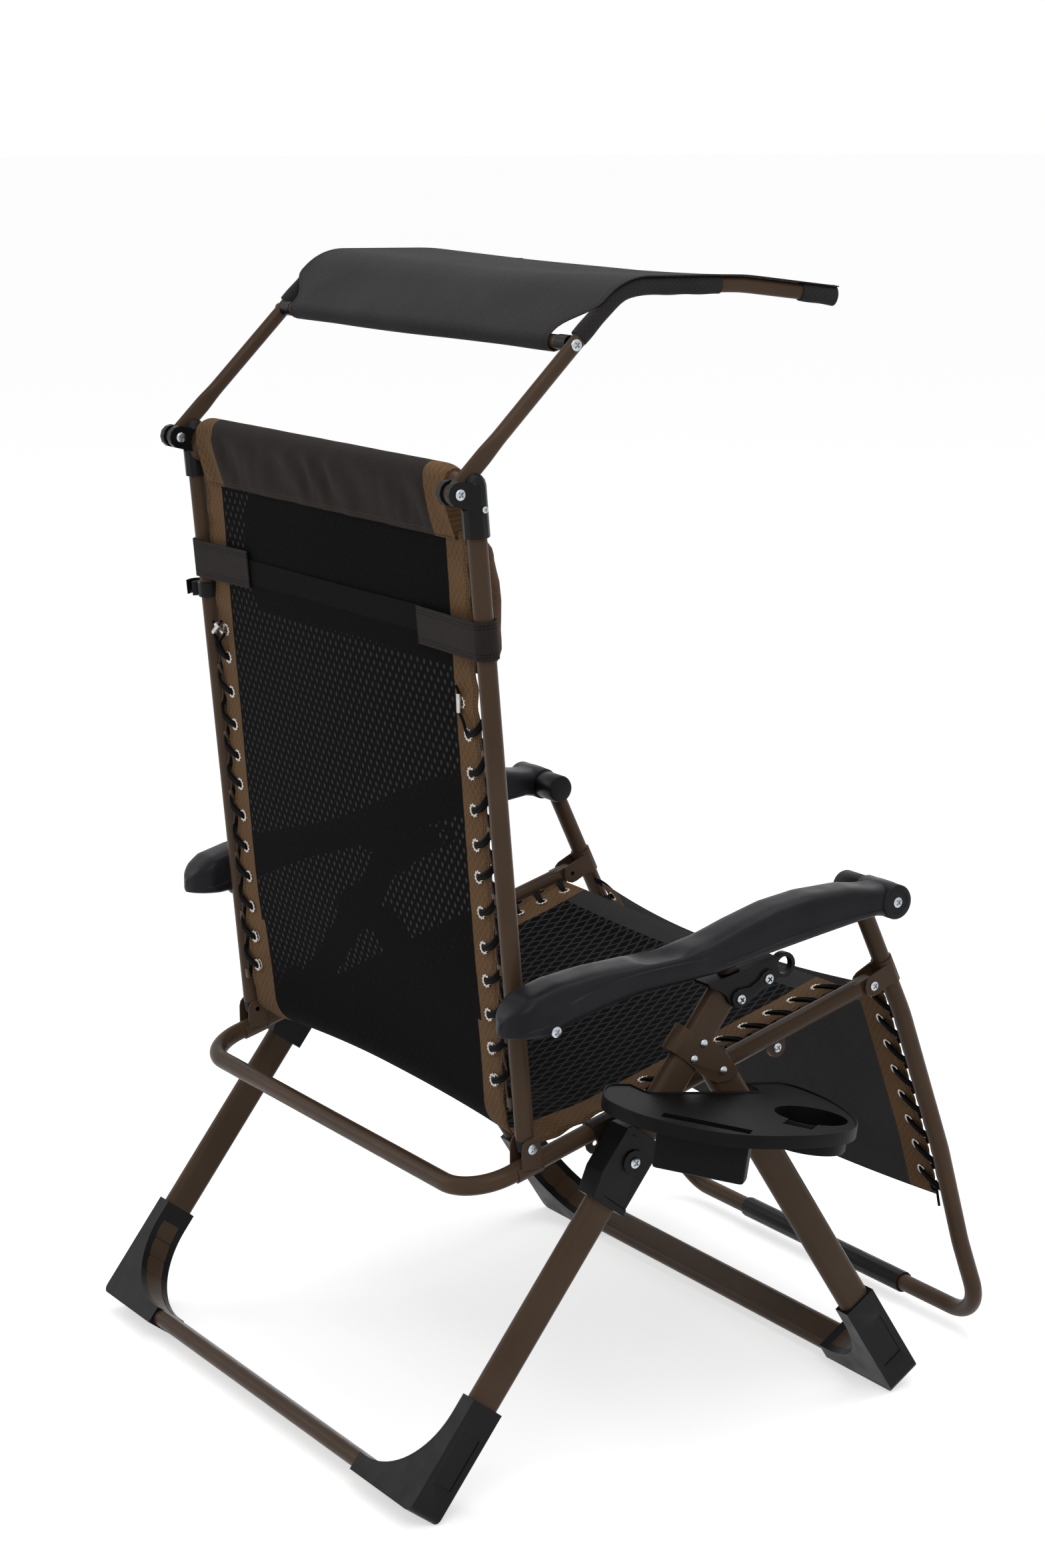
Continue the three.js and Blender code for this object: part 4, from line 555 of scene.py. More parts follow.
def screw_head(centre, axis, radius, rise, cross=True, turns=40):
    """A domed head, pressed with a cross or plain; axis points out of the surface."""
    axis, u, w = axes(axis)
    cross_half, cross_reach, cross_deep, dome = 0.13, 0.6, 0.75, 0.9
    rings = [0.0, 0.12, 0.24, 0.36, 0.48, 0.56, 0.64, 0.8, 0.93, 1.0, 1.0]
    verts, faces = [], []
    for j, r in enumerate(rings):
        for i in range(turns):
            x, y = r * math.cos(TURN * i / turns), r * math.sin(TURN * i / turns)
            high = rise * math.sqrt(1 - (r * dome) ** 2) if j < len(rings) - 1 else 0.0
            if cross and min(abs(x), abs(y)) < cross_half and r < cross_reach:
                high -= rise * cross_deep
            verts.append(centre + (u * x + w * y) * radius * MM + axis * high * MM)
    for j in range(len(rings) - 1):
        a, b = j * turns, (j + 1) * turns
        faces += [(a + i, b + i, b + (i + 1) % turns, a + (i + 1) % turns) for i in range(turns)]
    faces.append(tuple(range((len(rings) - 1) * turns, len(rings) * turns))[::-1])
    return verts, faces, [(0, 0)] * len(verts)


def disc(centre, axis, radius, thick):
    axis, u, w = axes(axis)
    return skin([[centre + (u * p + w * q) * radius * MM + axis * lift * MM for p, q in circle((0, 0), 1, 32)]
                 for lift in (0.0, thick)])


EDGE_ANGLE = 28.0


def refined(node, mat, width, body):
    """A copy of a CAD piece with its flat runs cleaned and its edges rounded."""
    grid = bmesh.new()
    grid.from_mesh(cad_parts[node].data)
    bmesh.ops.remove_doubles(grid, verts=grid.verts, dist=0.00002)
    bmesh.ops.dissolve_limit(grid, angle_limit=math.radians(1.0), verts=grid.verts, edges=grid.edges)
    bmesh.ops.recalc_face_normals(grid, faces=grid.faces)
    mesh = bpy.data.meshes.new(node + "_finish")
    grid.to_mesh(mesh)
    grid.free()
    mesh.materials.clear()
    mesh.materials.append(mat)
    mesh.polygons.foreach_set("use_smooth", [True] * len(mesh.polygons))
    mesh.polygons.foreach_set("material_index", [0] * len(mesh.polygons))
    mesh.set_sharp_from_angle(angle=math.radians(EDGE_ANGLE + 4))
    piece = bpy.data.objects.new(node + "_finish", mesh)
    bpy.context.scene.collection.objects.link(piece)
    edge = piece.modifiers.new("edge", "BEVEL")
    edge.width = width * MM
    edge.segments = 3
    edge.limit_method = "ANGLE"
    edge.angle_limit = math.radians(EDGE_ANGLE)
    edge.harden_normals = True
    edge.use_clamp_overlap = True
    edge.miter_outer = "MITER_ARC"
    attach(piece, body)
    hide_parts(node)


# Frames and tubes
REAR_FOOT, FRONT_FOOT = (170.0, 23.9), (-507.0, 22.9)
REAR_UP, FRONT_UP = unit(REAR_FOOT, SEAT_PIVOT), unit(FRONT_FOOT, FOLD)
LEG_SECTION, LEG_CORNERS = oval(10.0, 20.5, 36), [105, 105]
POST_GAP, POST_TOP, FOLD_OVER = 10, 574, 14
RAIL_END, RAIL_CORNERS, RAIL_TAB = rail_at(KNEE[0] + 16), [56, 56], rail_at(-353.0)
TAB = (RAIL_TAB[0], RAIL_TAB[1] - 18)
BACK_FROM, BACK_CORNERS = along(BACK_PIVOT, BACK_UP, 9), [BACK_CORNER] * 2
KNEE_BEND, SHIN, CALF, HEEL = (-545.0, 461.0), (-613.0, 272.0), (-650.0, 143.0), (-692.0, 27.0)
LEG_SIDE = [along(ARM_FRONT, unit(ARM_FRONT, KNEE_BEND), 13), KNEE_BEND, SHIN, CALF, HEEL]
LEG_BENDS = [240, 240, 240, 62]
# Tongues: radius, reach and half thickness
KNEE_TONGUE, TAB_TONGUE = (10.0, 24.0, 7.5), (12.0, 18.0, 3.0)


def hoop(reach, *spots):
    """The points of a U that lies square across: down one side and up the other."""
    return [at(-reach, *p) for p in spots] + [at(reach, *p) for p in reversed(spots)]


def tube(name, points, radii, up, body, node, section=None):
    shape = sweep(section or oval(TUBE, TUBE), bent(points, radii), Vector((0, *behind(up))))
    add(name, shape, PAINT, body, "brown_paint", [node])


rear_end = along(REAR_FOOT, REAR_UP, math.dist(REAR_FOOT, SEAT_PIVOT) - POST_GAP)
tube("rear_legs", hoop(LEG_X, rear_end, REAR_FOOT), LEG_CORNERS, REAR_UP, "base", "rear_leg_frame",
     LEG_SECTION)
front_end = along(FRONT_FOOT, FRONT_UP, math.dist(FRONT_FOOT, FOLD) + FOLD_OVER)
tube("front_legs", hoop(LEG_X, front_end, FRONT_FOOT), LEG_CORNERS, FRONT_UP, "front_legs", "front_leg_frame",
     LEG_SECTION)
for side_name, side in SIDES.items():
    ends = (along(SEAT_PIVOT, REAR_UP, POST_GAP), up_to(SEAT_PIVOT, REAR_UP, POST_TOP))
    tube(f"upper_post_{side_name}", [at(side * LEG_X, *end) for end in ends], [], REAR_UP, "base",
         f"post_{side_name}", LEG_SECTION)


def tongue(side, centre, toward, radius, reach, half):
    """A plate on a sling tube's line with a round nose at centre, running toward a point."""
    d = unit(centre, toward)
    start = math.atan2(d[1], d[0]) + math.pi / 2
    turns = [start + math.pi * k / 14 for k in range(15)]
    spots = [along(centre, (math.cos(a), math.sin(a)), radius) for a in turns]
    far = along(centre, d, reach)
    spots += [along(far, behind(d), radius), along(far, behind(d), -radius)]
    return skin([[at(side * SLING_X + x, *spot) for spot in spots] for x in (-half, half)])


def seat_rails():
    rings = bent(hoop(SLING_X, RAIL_END, rail_at(RAIL_BACK)), RAIL_CORNERS)
    parts = [sweep(oval(TUBE, TUBE), rings, -Vector((0, *behind(RAIL_UP))))]
    for side in SIDES.values():
        parts.append(tongue(side, KNEE, RAIL_END, *KNEE_TONGUE))
        parts.append(tongue(side, TAB, RAIL_TAB, *TAB_TONGUE))
    add("seat_rails", merge(*parts), PAINT, "seat", "brown_paint", ["seat_frame"])


seat_rails()
tube("back_tubes", hoop(SLING_X, BACK_FROM, back_at(HEAD_BAR)), BACK_CORNERS, BACK_UP, "back", "back_frame")
tube("leg_rest_tubes", hoop(SLING_X, *LEG_SIDE), LEG_BENDS + LEG_BENDS[::-1], unit(HEEL, CALF), "leg_rest",
     "leg_rest_frame")

# Moulded and pressed pieces: (node, width of the rounded edge, body)
MOULDED = [("rear_foot", 1.6, "base"), ("front_foot", 1.6, "front_legs"), ("leg_joint", 1.5, "base"),
           ("lock_housing", 1.4, "base"), ("canopy_socket", 1.5, "back"), ("back_tube_plug", 0.6, "back"),
           ("front_leg_plug", 0.7, "front_legs"), ("lock_ring", 1.6, "lock")]
PRESSED = [("cross_bracket", 0.6, "base"), ("seat_saddle", 0.6, "seat"), ("back_saddle", 0.6, "seat"),
           ("knee_clamp", 0.6, "leg_rest")]
for side_name in SIDES:
    for node, width, body in MOULDED:
        rides_on = f"lock_{side_name}" if body == "lock" else body
        refined(f"{node}_{side_name}", PLASTIC, width, rides_on)
    for node, width, body in PRESSED:
        paint = DARK_PAINT if node == "seat_saddle" else PAINT
        refined(f"{node}_{side_name}", paint, width, body)
refined("heel_grip", PLASTIC, 0.8, "leg_rest")
refined("canopy_clip", PLASTIC, 0.9, "back")


def lathe(side, spot, profile, turns):
    """A turned shape on a sideways axis, from (sideways place, radius) pairs."""
    return skin([[at(side * x, *p) for p in circle(spot, radius, turns)] for x, radius in profile])


# The barrel between the leg rest tube's end and the armrest, and the raised rim of a leg joint's outer face
# as (outer edge, inner edge) along it
KNUCKLE = [(303.5, 0.6), (303.5, 15.5), (304.4, 17.6), (306.5, 18.5), (341.0, 18.5), (343.3, 17.4),
           (343.7, 15.0), (343.7, 0.6)]
JOINT_RIM = [((-110.0, 413.2), (-104.5, 405.5)), ((-102.0, 419.0), (-100.5, 408.5)),
             ((-93.5, 418.0), (-96.5, 407.0)), ((-58.7, 373.3), (-69.2, 371.0)),
             ((-52.5, 358.3), (-62.5, 355.5)), ((-49.5, 351.0), (-62.2, 348.8)),
             ((-47.4, 345.4), (-64.5, 343.8)), ((-53.5, 340.6), (-68.6, 340.2)),
             ((-86.8, 315.0), (-92.3, 321.9))]
JOINT_FACE, RIM_RISE, RIM_SUNK, RIM_SLOPE = 388.0, 2.2, 0.5, 0.82


def joint_rim(side):
    low, high, loops = JOINT_FACE - RIM_SUNK, JOINT_FACE + RIM_RISE, []
    for edge, hollow in JOINT_RIM:
        slope = along(edge, (hollow[0] - edge[0], hollow[1] - edge[1]), RIM_SLOPE)
        section = ((low, edge), (low, hollow), (high, slope), (high, edge))
        loops.append([at(side * x, *spot) for x, spot in section])
    return skin(loops)


for side_name, side in SIDES.items():
    outward(add(f"arm_knuckle_barrel_{side_name}", lathe(side, ARM_FRONT, KNUCKLE, 48), PLASTIC, "leg_rest",
                "black_plastic", [f"arm_knuckle_{side_name}"], sharp=30))
    outward(add(f"leg_joint_rim_{side_name}", joint_rim(side), PLASTIC, "base", "black_plastic", sharp=30))

# Side tray: places are (out from the mid-plane, forward along the tray)
TRAY_REST, TRAY_LEAN = (-145.5, 448.0), math.radians(10)
TRAY_EDGE = [(347, -19), (346, -42), (352, -56), (372, -75), (405, -95), (440, -100), (478, -94), (520, -70),
             (548, -40), (561, -8), (566, 30), (565, 80), (556, 125), (538, 158), (510, 183), (474, 200),
             (420, 214), (370, 213), (350, 205), (344, 192), (346, 143.8)]
TRAY_NOTCH = [(375, 143.8), (381, 141.5), (383.3, 136), (383.3, -11), (381, -16.5), (375, -19)]
CUP, CUP_RADIUS, CUP_DEEP = (482.0, 138.0), 42.0, 36.0
HANDLE_TURN, HANDLE_HALF, HANDLE_REACH = math.radians(38), 17.0, 68.0
SLOT, SLOT_TURN, SLOT_LONG, SLOT_WIDE, SLOT_DEEP = (505.0, -28.0), math.radians(48), 100.0, 21.0, 58.0
TRAY_THICK, TRAY_WALL, TRAY_HANG = 3, 1.6, -1.5
# Profiles: (inset, height) of the rim, (radius, height) of the cup, (grow, corner, height) of the slot
RIM_PROFILE = [(0, -13), (0, 0.6), (0.4, 1.6), (1.1, 2.0), (1.8, 1.8), (2.4, 1.0), (2.6, -0.5), (2.6, -13)]
CUP_PROFILE = [(41.9, 2 - CUP_DEEP), (42.1, TRAY_HANG), (44, TRAY_HANG), (44, 3 - CUP_DEEP),
               (42.6, 0.6 - CUP_DEEP), (40, -CUP_DEEP)]
SLOT_PROFILE = [(-0.6, 1.2, 2 - SLOT_DEEP), (0.1, 1.2, TRAY_HANG), (2, 3, TRAY_HANG), (1.6, 3, 4 - SLOT_DEEP),
                (0.6, 3, 1 - SLOT_DEEP), (-1.5, 2.5, -SLOT_DEEP)]


def on_tray(x, s, h):
    y, z = TRAY_REST
    return at(-x, y - s * math.cos(TRAY_LEAN) - h * math.sin(TRAY_LEAN),
              z - s * math.sin(TRAY_LEAN) + h * math.cos(TRAY_LEAN))


def inset(loop, depth):
    """The loop moved inward by depth (mitred)."""
    after = loop[1:] + loop[:1]
    turn = math.copysign(1, sum(p[0] * q[1] - q[0] * p[1] for p, q in zip(loop, after)))
    out = []
    for before, spot, following in zip(loop[-1:] + loop, loop, after):
        a, b = unit(before, spot), unit(spot, following)
        normal = (-(a[1] + b[1]) * turn, (a[0] + b[0]) * turn)
        out.append(along(spot, normal, depth * 2 / max(normal[0] ** 2 + normal[1] ** 2, 0.8)))
    return out


def slot_loop(grow, corner):
    """A rectangle with round corners, turned as the slot is."""
    long, wide = SLOT_LONG / 2 + grow, SLOT_WIDE / 2 + grow
    right, ahead = (math.cos(SLOT_TURN), -math.sin(SLOT_TURN)), (math.sin(SLOT_TURN), math.cos(SLOT_TURN))
    out = []
    for k, (u, v) in enumerate(((1, 1), (-1, 1), (-1, -1), (1, -1))):
        for a in (math.pi / 2 * (k + step / 4) for step in range(5)):
            across = along(SLOT, right, u * (wide - corner) + corner * math.cos(a))
            out.append(along(across, ahead, v * (long - corner) + corner * math.sin(a)))
    return out


def filled(loops, low, high):
    """A flat plate inside the first loop with the others as holes."""
    curve = bpy.data.curves.new("plate", "CURVE")
    curve.dimensions, curve.fill_mode = "2D", "BOTH"
    curve.extrude = (high - low) / 2 * MM
    for loop in loops:
        line = curve.splines.new("POLY")
        line.points.add(len(loop) - 1)
        for point, (x, s) in zip(line.points, loop):
            point.co = (x * MM, s * MM, 0, 1)
        line.use_cyclic_u = True
    holder = bpy.data.objects.new("plate", curve)
    bpy.context.scene.collection.objects.link(holder)
    mesh = holder.evaluated_get(bpy.context.evaluated_depsgraph_get()).to_mesh()
    verts = [on_tray(v.co.x / MM, v.co.y / MM, v.co.z / MM + (low + high) / 2) for v in mesh.vertices]
    faces = [tuple(p.vertices) for p in mesh.polygons]
    holder.to_mesh_clear()
    bpy.data.objects.remove(holder)
    bpy.data.curves.remove(curve)
    return verts, faces, [(0, 0)] * len(verts)


def cup_hole():
    """The cup's round hole, open into the slot that lets a mug's handle through."""
    toward = (math.sin(HANDLE_TURN), -math.cos(HANDLE_TURN))
    neck, aim = math.asin(HANDLE_HALF / CUP_RADIUS), math.atan2(toward[1], toward[0])
    turns = [aim + neck + (TURN - 2 * neck) * k / 56 for k in range(57)]
    hole = [along(CUP, (math.cos(a), math.sin(a)), CUP_RADIUS) for a in turns]
    end = along(CUP, toward, HANDLE_REACH)
    return hole + [along(end, behind(toward), way * HANDLE_HALF) for way in (1, -1)]


def side_tray():
    spots = smooth_line([Vector((x, s, 0)) for x, s in TRAY_EDGE], 6)
    edge = [(p.x, p.y) for p in spots] + TRAY_NOTCH

    def rise(loop, h):
        return [on_tray(x, s, h) for x, s in loop]

    rim = skin([rise(inset(edge, d), h) for d, h in RIM_PROFILE], ring=True)
    plate = filled([inset(edge, TRAY_WALL), cup_hole(), slot_loop(0, 1.2)], -TRAY_THICK, 0)
    cup = skin([rise(circle(CUP, radius), h) for radius, h in CUP_PROFILE])
    box = skin([rise(slot_loop(grow, corner), h) for grow, corner, h in SLOT_PROFILE])
    piece = outward(add("side_tray_body", merge(rim, plate, cup, box), TRAY_PLASTIC, "base", "black_plastic",
                        ["side_tray"]))
    piece.data.set_sharp_from_angle(angle=math.radians(35))


side_tray()

# Armrests: the side view of the moulding, and the rows round it as (side, share of the quarter turn)
ARM_TOP = [(66, 564), (62, 573), (54, 582), (38, 593), (0, 603), (-50, 608), (-110, 609), (-160, 610),
           (-205, 619), (-250, 633), (-300, 646), (-350, 652), (-410, 651.5), (-438, 647), (-452, 646),
           (-467, 648.6), (-474, 648)]
ARM_UNDER = [(66, 548), (50, 546.5), (30, 545), (10, 546.5), (-10, 553), (-55, 565), (-102, 574), (-150, 577),
             (-205, 580), (-292, 592.5), (-400, 608), (-440, 613), (-462, 609), (-474, 610)]
ARM_ENDS, ARM_STATIONS, ARM_HALF, ARM_ROUND = (66, -488), 96, 29.0, 34.0
NOSE, NOSE_LONG, NOSE_HALF = (-468.0, 629.0), 20.0, 19.5
THUMB, THUMB_LONG, THUMB_HALF, THUMB_DEEP = -141, 33.0, 23.0, 7.0
SEAM_LOW, SEAM_HIGH, SEAM_STEP, SEAM_SPAN = -0.12, 0.42, 2.1, 0.75
ARM_SHARES = [-0.97, -0.9, -0.8, -0.68, -0.55, -0.42, -0.3, -0.2, -0.1, -0.012,
              0.012, 0.1, 0.2, 0.3, 0.42, 0.55, 0.68, 0.8, 0.9, 0.97]
ARM_ROWS = [(1, t) for t in ARM_SHARES] + [(-1, t) for t in reversed(ARM_SHARES)]
# The barrel at the front, with a shallow round recess for its screw: (out from the pad's middle, radius)
ARM_BARREL = [(-29.4, 0.6), (-29.4, 18.6), (-28.7, 20.0), (-27.0, 20.8), (29.0, 20.8), (30.6, 20.0),
              (31.3, 18.6), (31.3, 14.2), (30.3, 13.4), (30.3, 0.6)]
HUB_X, HUB_DISC = 344.0, (9.0, 9.5)


def lookup(table, y):
    return float(np.interp(y, *zip(*sorted(table))))


def arm_loop(side, y):
    """The outline round an armrest at y, proud below a seam that climbs to the thumb dish."""
    top, under = lookup(ARM_TOP, y), lookup(ARM_UNDER, y)
    if y < NOSE[0]:
        reach = NOSE_HALF * math.sqrt(max(0.0, 1 - ((y - NOSE[0]) / NOSE_LONG) ** 2)) + 0.5
        top, under = min(top, NOSE[1] + reach), max(under, NOSE[1] - reach)
    rear = min(1.0, max(0.0, (ARM_ENDS[0] - y) / ARM_ROUND))
    wide = ARM_HALF * math.sqrt(max(0.02, 1 - (1 - rear) ** 2.4))
    middle, tall = (top + under) / 2, max(0.8, (top - under) / 2)
    climb = ease(-y, -60, 130) if y > -150 else 1 - ease(-y, 150, 230)
    seam = SEAM_LOW + (SEAM_HIGH - SEAM_LOW) * climb
    step = SEAM_STEP * ease(-y, -62, -30) * (1 - ease(-y, 430, 455)) if wide > 12 else 0.0
    thumb = max(0.0, 1 - ((y - THUMB) / THUMB_LONG) ** 2)
    loop = []
    for way, t in ARM_ROWS:
        a = seam + t * (math.pi / 2 - seam if t > 0 else math.pi / 2 + seam)
        x = way * math.cos(a) ** 0.5 * wide
        z = math.copysign(abs(math.sin(a)) ** (0.62 if a > 0 else 0.35), a) * tall
        if -SEAM_SPAN < t < 0:
            x += way * step * (1 - (t / SEAM_SPAN) ** 2)
        if a > 0:
            z -= THUMB_DEEP * (thumb * max(0.0, 1 - (x / THUMB_HALF) ** 2)) ** 0.8
        loop.append(at(side * LEG_X + x, y, middle + z))
    return loop


for side_name, side in SIDES.items():
    shares = [(0.5 - 0.5 * math.cos(math.pi * k / (ARM_STATIONS - 1))) ** 0.92 for k in range(ARM_STATIONS)]
    pad = skin([arm_loop(side, ARM_ENDS[0] + (ARM_ENDS[1] - ARM_ENDS[0]) * share) for share in shares])
    hub = disc(at(side * HUB_X, *ARM_REAR), -side * X_AXIS, *HUB_DISC)
    barrel = lathe(side, ARM_FRONT, [(LEG_X + x, radius) for x, radius in ARM_BARREL], 56)
    outward(add(f"arm_pad_{side_name}", merge(pad, hub, barrel), ARM_PLASTIC, f"arm_{side_name}",
                "black_plastic", [f"armrest_{side_name}"], sharp=40))

# Screws and rivets: piece, body, the bolt it stands for, and its heads as (sideways, place, radius, rise)
SCREWS = [
    ("seat_pivot_screw", "base", "seat_pivot_bolt", [(391.3, SEAT_PIVOT, 6.2, 3.0)]),
    ("back_pivot_screw", "seat", "back_pivot_bolt", [(336.6, BACK_PIVOT, 6.0, 2.8)]),
    ("canopy_screw", "back", "canopy_pivot_bolt", [(336.8, CANOPY_PIVOT, 6.0, 2.6)]),
    ("socket_screw", "back", None, [(337.2, (58, 1122), 3.6, 1.6)]),
    ("arm_screws", "arm", None, [(403.4, ARM_REAR, 6.2, 2.6), (403.2, ARM_FRONT, 6.2, 2.6)]),
    ("link_screws", "base", None, [(392.2, (-248.5, 543.5), 5.8, 2.9), (392.2, (-288, 561.5), 5.8, 2.9)]),
    ("rivets", "base", None, [(385.4, spot, 4.8, 3.2) for spot in ((-201, 498), (-187.5, 481.5), FOLD)]),
    ("tab_screw", "seat", None, [(326.0, TAB, 5.6, 2.8)]),
    ("canopy_inner_screw", "back", None, [(308.3, CANOPY_PIVOT, 6.0, 2.4)]),
    ("knee_screw", "leg_rest", None, [(336.4, KNEE, 5.6, 2.8)]),
]
for side_name, side in SIDES.items():
    for name, body, bolt, spots in SCREWS:
        facing = -side if name == "canopy_inner_screw" else side
        heads = [screw_head(at(side * x, *spot), facing * X_AXIS, radius, rise, name != "rivets")
                 for x, spot, radius, rise in spots]
        rides_on = f"arm_{side_name}" if body == "arm" else body
        add(f"{name}_{side_name}", merge(*heads), ZINC, rides_on, "zinc_steel",
            [f"{bolt}_{side_name}"] if bolt else (), sharp=30)


# Cloth
def spread(share):
    """A place from -1 to 1 across a sheet, closer together near its edges."""
    return 0.65 * (2 * share - 1) - 0.35 * math.cos(math.pi * share)


def closed_sheet(count, columns):
    """Faces of a thin sheet, with each one's place across, row and side: the two sides, of count rows of
    columns + 1 points each, then the long edges and the ends between them."""
    row, block = columns + 1, count * (columns + 1)
    faces, places = [], []

    def quad(a, b, over, flip, *place):
        face = (a, b, b + over, a + over)
        faces.append(face[::-1] if flip else face)
        places.append(place)

    for side in (0, 1):
        for j in range(count - 1):
            for i in range(columns):
                a = side * block + j * row + i
                quad(a, a + 1, row, not side, spread((i + 0.5) / columns), j, side)
    for j in range(count - 1):
        for i in (0, columns):
            quad(j * row + i, (j + 1) * row + i, block, not i, 1.0 if i else -1.0, j, 0)
    for i in range(columns):
        for j in (0, count - 1):
            quad(j * row + i, j * row + i + 1, block, j, 2 * i / columns - 1, j, 0)
    return faces, places


def cloth(name, rings, half, dip, ripple, picks, columns, thick, outside=1.0, **finish):
    """A closed thin sheet over rings: half and dip give its half width and its sag at (share along, point),
    and picks(place across, half width, share, side) gives the number of a face's material."""
    shares = [j / (len(rings) - 1) for j in range(len(rings))]
    run_of = runs([point for point, tangent in rings])
    verts, flat, edge = [], [], []
    for face in (1, -1):
        for (point, tangent), share, run in zip(rings, shares, run_of):
            normal = X_AXIS.cross(tangent).normalized() * outside
            wide = half(share, point)
            for s in (spread(i / columns) for i in range(columns + 1)):
                x = s * wide
                lift = dip(share, point) * (1 - s * s) + ripple(x, run / MM, s)
                verts.append(point + X_AXIS * x * MM + normal * (lift + face * thick / 2) * MM)
                flat.append((x * MM, run))
                edge.append(((wide - abs(x)) * MM, run))
    faces, places = closed_sheet(len(rings), columns)
    ids = [picks(s, half(shares[j], rings[j][0]), shares[j], face) for s, j, face in places]
    maps = {"flat": flat, "edge": edge}
    return add(name, (verts, faces), ids=ids, maps=maps, sharp=50, **finish), run_of[-1]


def pucker(run, pitch, s):
    """Waves along a laced edge, one to each eyelet."""
    return 1.3 * math.cos(run / pitch * TURN) * math.exp(-((1 - abs(s)) / 0.09) ** 2)


SLING_HALF, LEG_HALF, LEG_START, BIND, CLOTH_STEP = 295.0, 297.0, 60, 45.0, 0.006
# The sling turns from back to seat where the line through this place meets the rail's
LAP_BACK = (11.0, 436.5)
LAP_DROP = rail_at(LAP_BACK[0])[1] - LAP_BACK[1]
LAP = along(LAP_BACK, BACK_UP, LAP_DROP / (BACK_UP[1] + BACK_UP[0] * RAIL_SLOPE))
SLING_TOP, SLING_FRONT = back_at(1094), rail_at(-470)


def path(x, spots, radii, step=CLOTH_STEP):
    """Even rings along a bent side-view line at a sideways place."""
    return resample(bent([at(x, *spot) for spot in spots], radii), step)


def sling_half(share, point):
    """A little wider above the lap."""
    return SLING_HALF + 6.0 * ease(side_view(point)[1], 400, 560)


def sling_dip(share, point):
    """Sag of the seat and of the back, none near the head bar."""
    y, z = side_view(point)
    if y > -45:
        return (-12.0 + 20.0 * ease(z, 440, 620)) * (1 - ease(z, 900, 1060))
    return -12.0 + 28.0 * ease(-y, 50, 135) - 10.0 * ease(-y, 400, 470)


def sling_ripple(x, run, s):
    soft = 1.6 * math.sin(run * 0.011 + x * 0.006) + math.sin(run * 0.023 - x * 0.013 + 2.0)
    return pucker(run - 4, 38.0, s) + soft * (1 - abs(s)) * 0.8


def sling_picks(s, half, share, face):
    """Bound edges and front end, mesh behind, lattice in front."""
    if (1 - abs(s)) * half < BIND:
        return 0
    return 3 if share > 0.972 else 1 + face


sling, sling_run = cloth(
    "sling", path(0, (SLING_TOP, LAP, SLING_FRONT), [50], 0.0055), sling_half, sling_dip, sling_ripple,
    sling_picks, 64, 2.0, mats=[TAN, REAR_MESH, LATTICE, CHARCOAL], body=None, slot="black_mesh",
    stands=["seat_panel", "back_panel"], blend=("seat", "back", at(0, 2, 392), at(0, 14, 452)),
)


# Head sleeve: a pocket of cloth over the head bar
SLEEVE_HALF, SLEEVE_END, SLEEVE_LOW, SLEEVE_SIDES, SLEEVE_LOOPS = 287.0, 243, 1080.0, 34, 97
SLEEVE_OFF, SLEEVE_RISE = 14.2, 14.0


def bar_height(x):
    over = max(0.0, abs(x) - (SLING_X - BACK_CORNER))
    return HEAD_BAR - BACK_CORNER + math.sqrt(max(0.0, BACK_CORNER ** 2 - over * over))


def sleeve_fall(x, fall):
    """How far a side of the sleeve stands off at a share of its fall, with its creases."""
    crease = math.sin(x * 0.085 + fall * 3.0 + 1.9 * math.sin(x * 0.023)) * 4.5 * fall ** 0.5 * (1.08 - fall)
    crease += math.sin(x * 0.19 - fall * 4.0 + 2.4 * math.sin(x * 0.031)) * 1.5 * fall * (1.1 - fall)
    return SLEEVE_OFF * (1 - fall) ** 0.8 * 0.98 + 3.0 + crease


def head_sleeve():
    verts, flat, edge = [], [], []
    step = 2 * SLEEVE_HALF / (SLEEVE_LOOPS - 1)
    for x in (i * step - SLEEVE_HALF for i in range(SLEEVE_LOOPS)):
        drop = bar_height(x) - SLEEVE_LOW
        wobble = 0.315 * math.sin(x * 0.045 + 2.2 * math.sin(x * 0.013)) + 0.14 * math.sin(x * 0.11 + 1.0)
        for t in (k / SLEEVE_SIDES for k in range(SLEEVE_SIDES)):
            # over the bar, then down the front and back up the rear
            if t < 0.5:
                off, lift = math.cos(TURN * t) * SLEEVE_OFF, math.sin(TURN * t) * SLEEVE_RISE
            else:
                fall = 4 * min(t - 0.5, 1 - t)
                off, lift = math.copysign(sleeve_fall(x, fall), t - 0.75), -fall * drop
            off += wobble * (1 if off > 0 else -1)
            place = along(along(back_at(bar_height(x)), BACK_UP, lift), behind(BACK_UP), off)
            verts.append(at(x, *place))
            flat.append((x * MM, (lift if lift < 0 else SLEEVE_OFF * math.pi * t) * MM))
            edge.append((abs(lift + drop) * MM, x * MM))
    middles = [(i + 0.5) * step - SLEEVE_HALF for i in range(SLEEVE_LOOPS - 1)]
    ids = [1 if abs(x) > SLEEVE_END else 0 for x in middles for k in range(SLEEVE_SIDES)] + [1, 1]
    add("head_sleeve", (verts, walls(SLEEVE_LOOPS, SLEEVE_SIDES)), [SLEEVE_CLOTH, TAN], "back",
        "charcoal_cloth", ids=ids, maps={"flat": flat, "edge": edge}, sharp=60)


head_sleeve()


# Leg rest cloth
def leg_line(down):
    """The leg tube's side line at a run below the knuckle: (point, direction)."""
    rest = down + LEG_START
    for a, b in zip(LEG_SIDE, LEG_SIDE[1:]):
        run = math.dist(a, b)
        if rest <= run:
            break
        rest -= run
    return along(a, unit(a, b), rest), unit(a, b)


def leg_dip(share, point):
    """A sag that is deepest at the upper edge."""
    return 12.0 + 14.0 * math.exp(-share / 0.09)


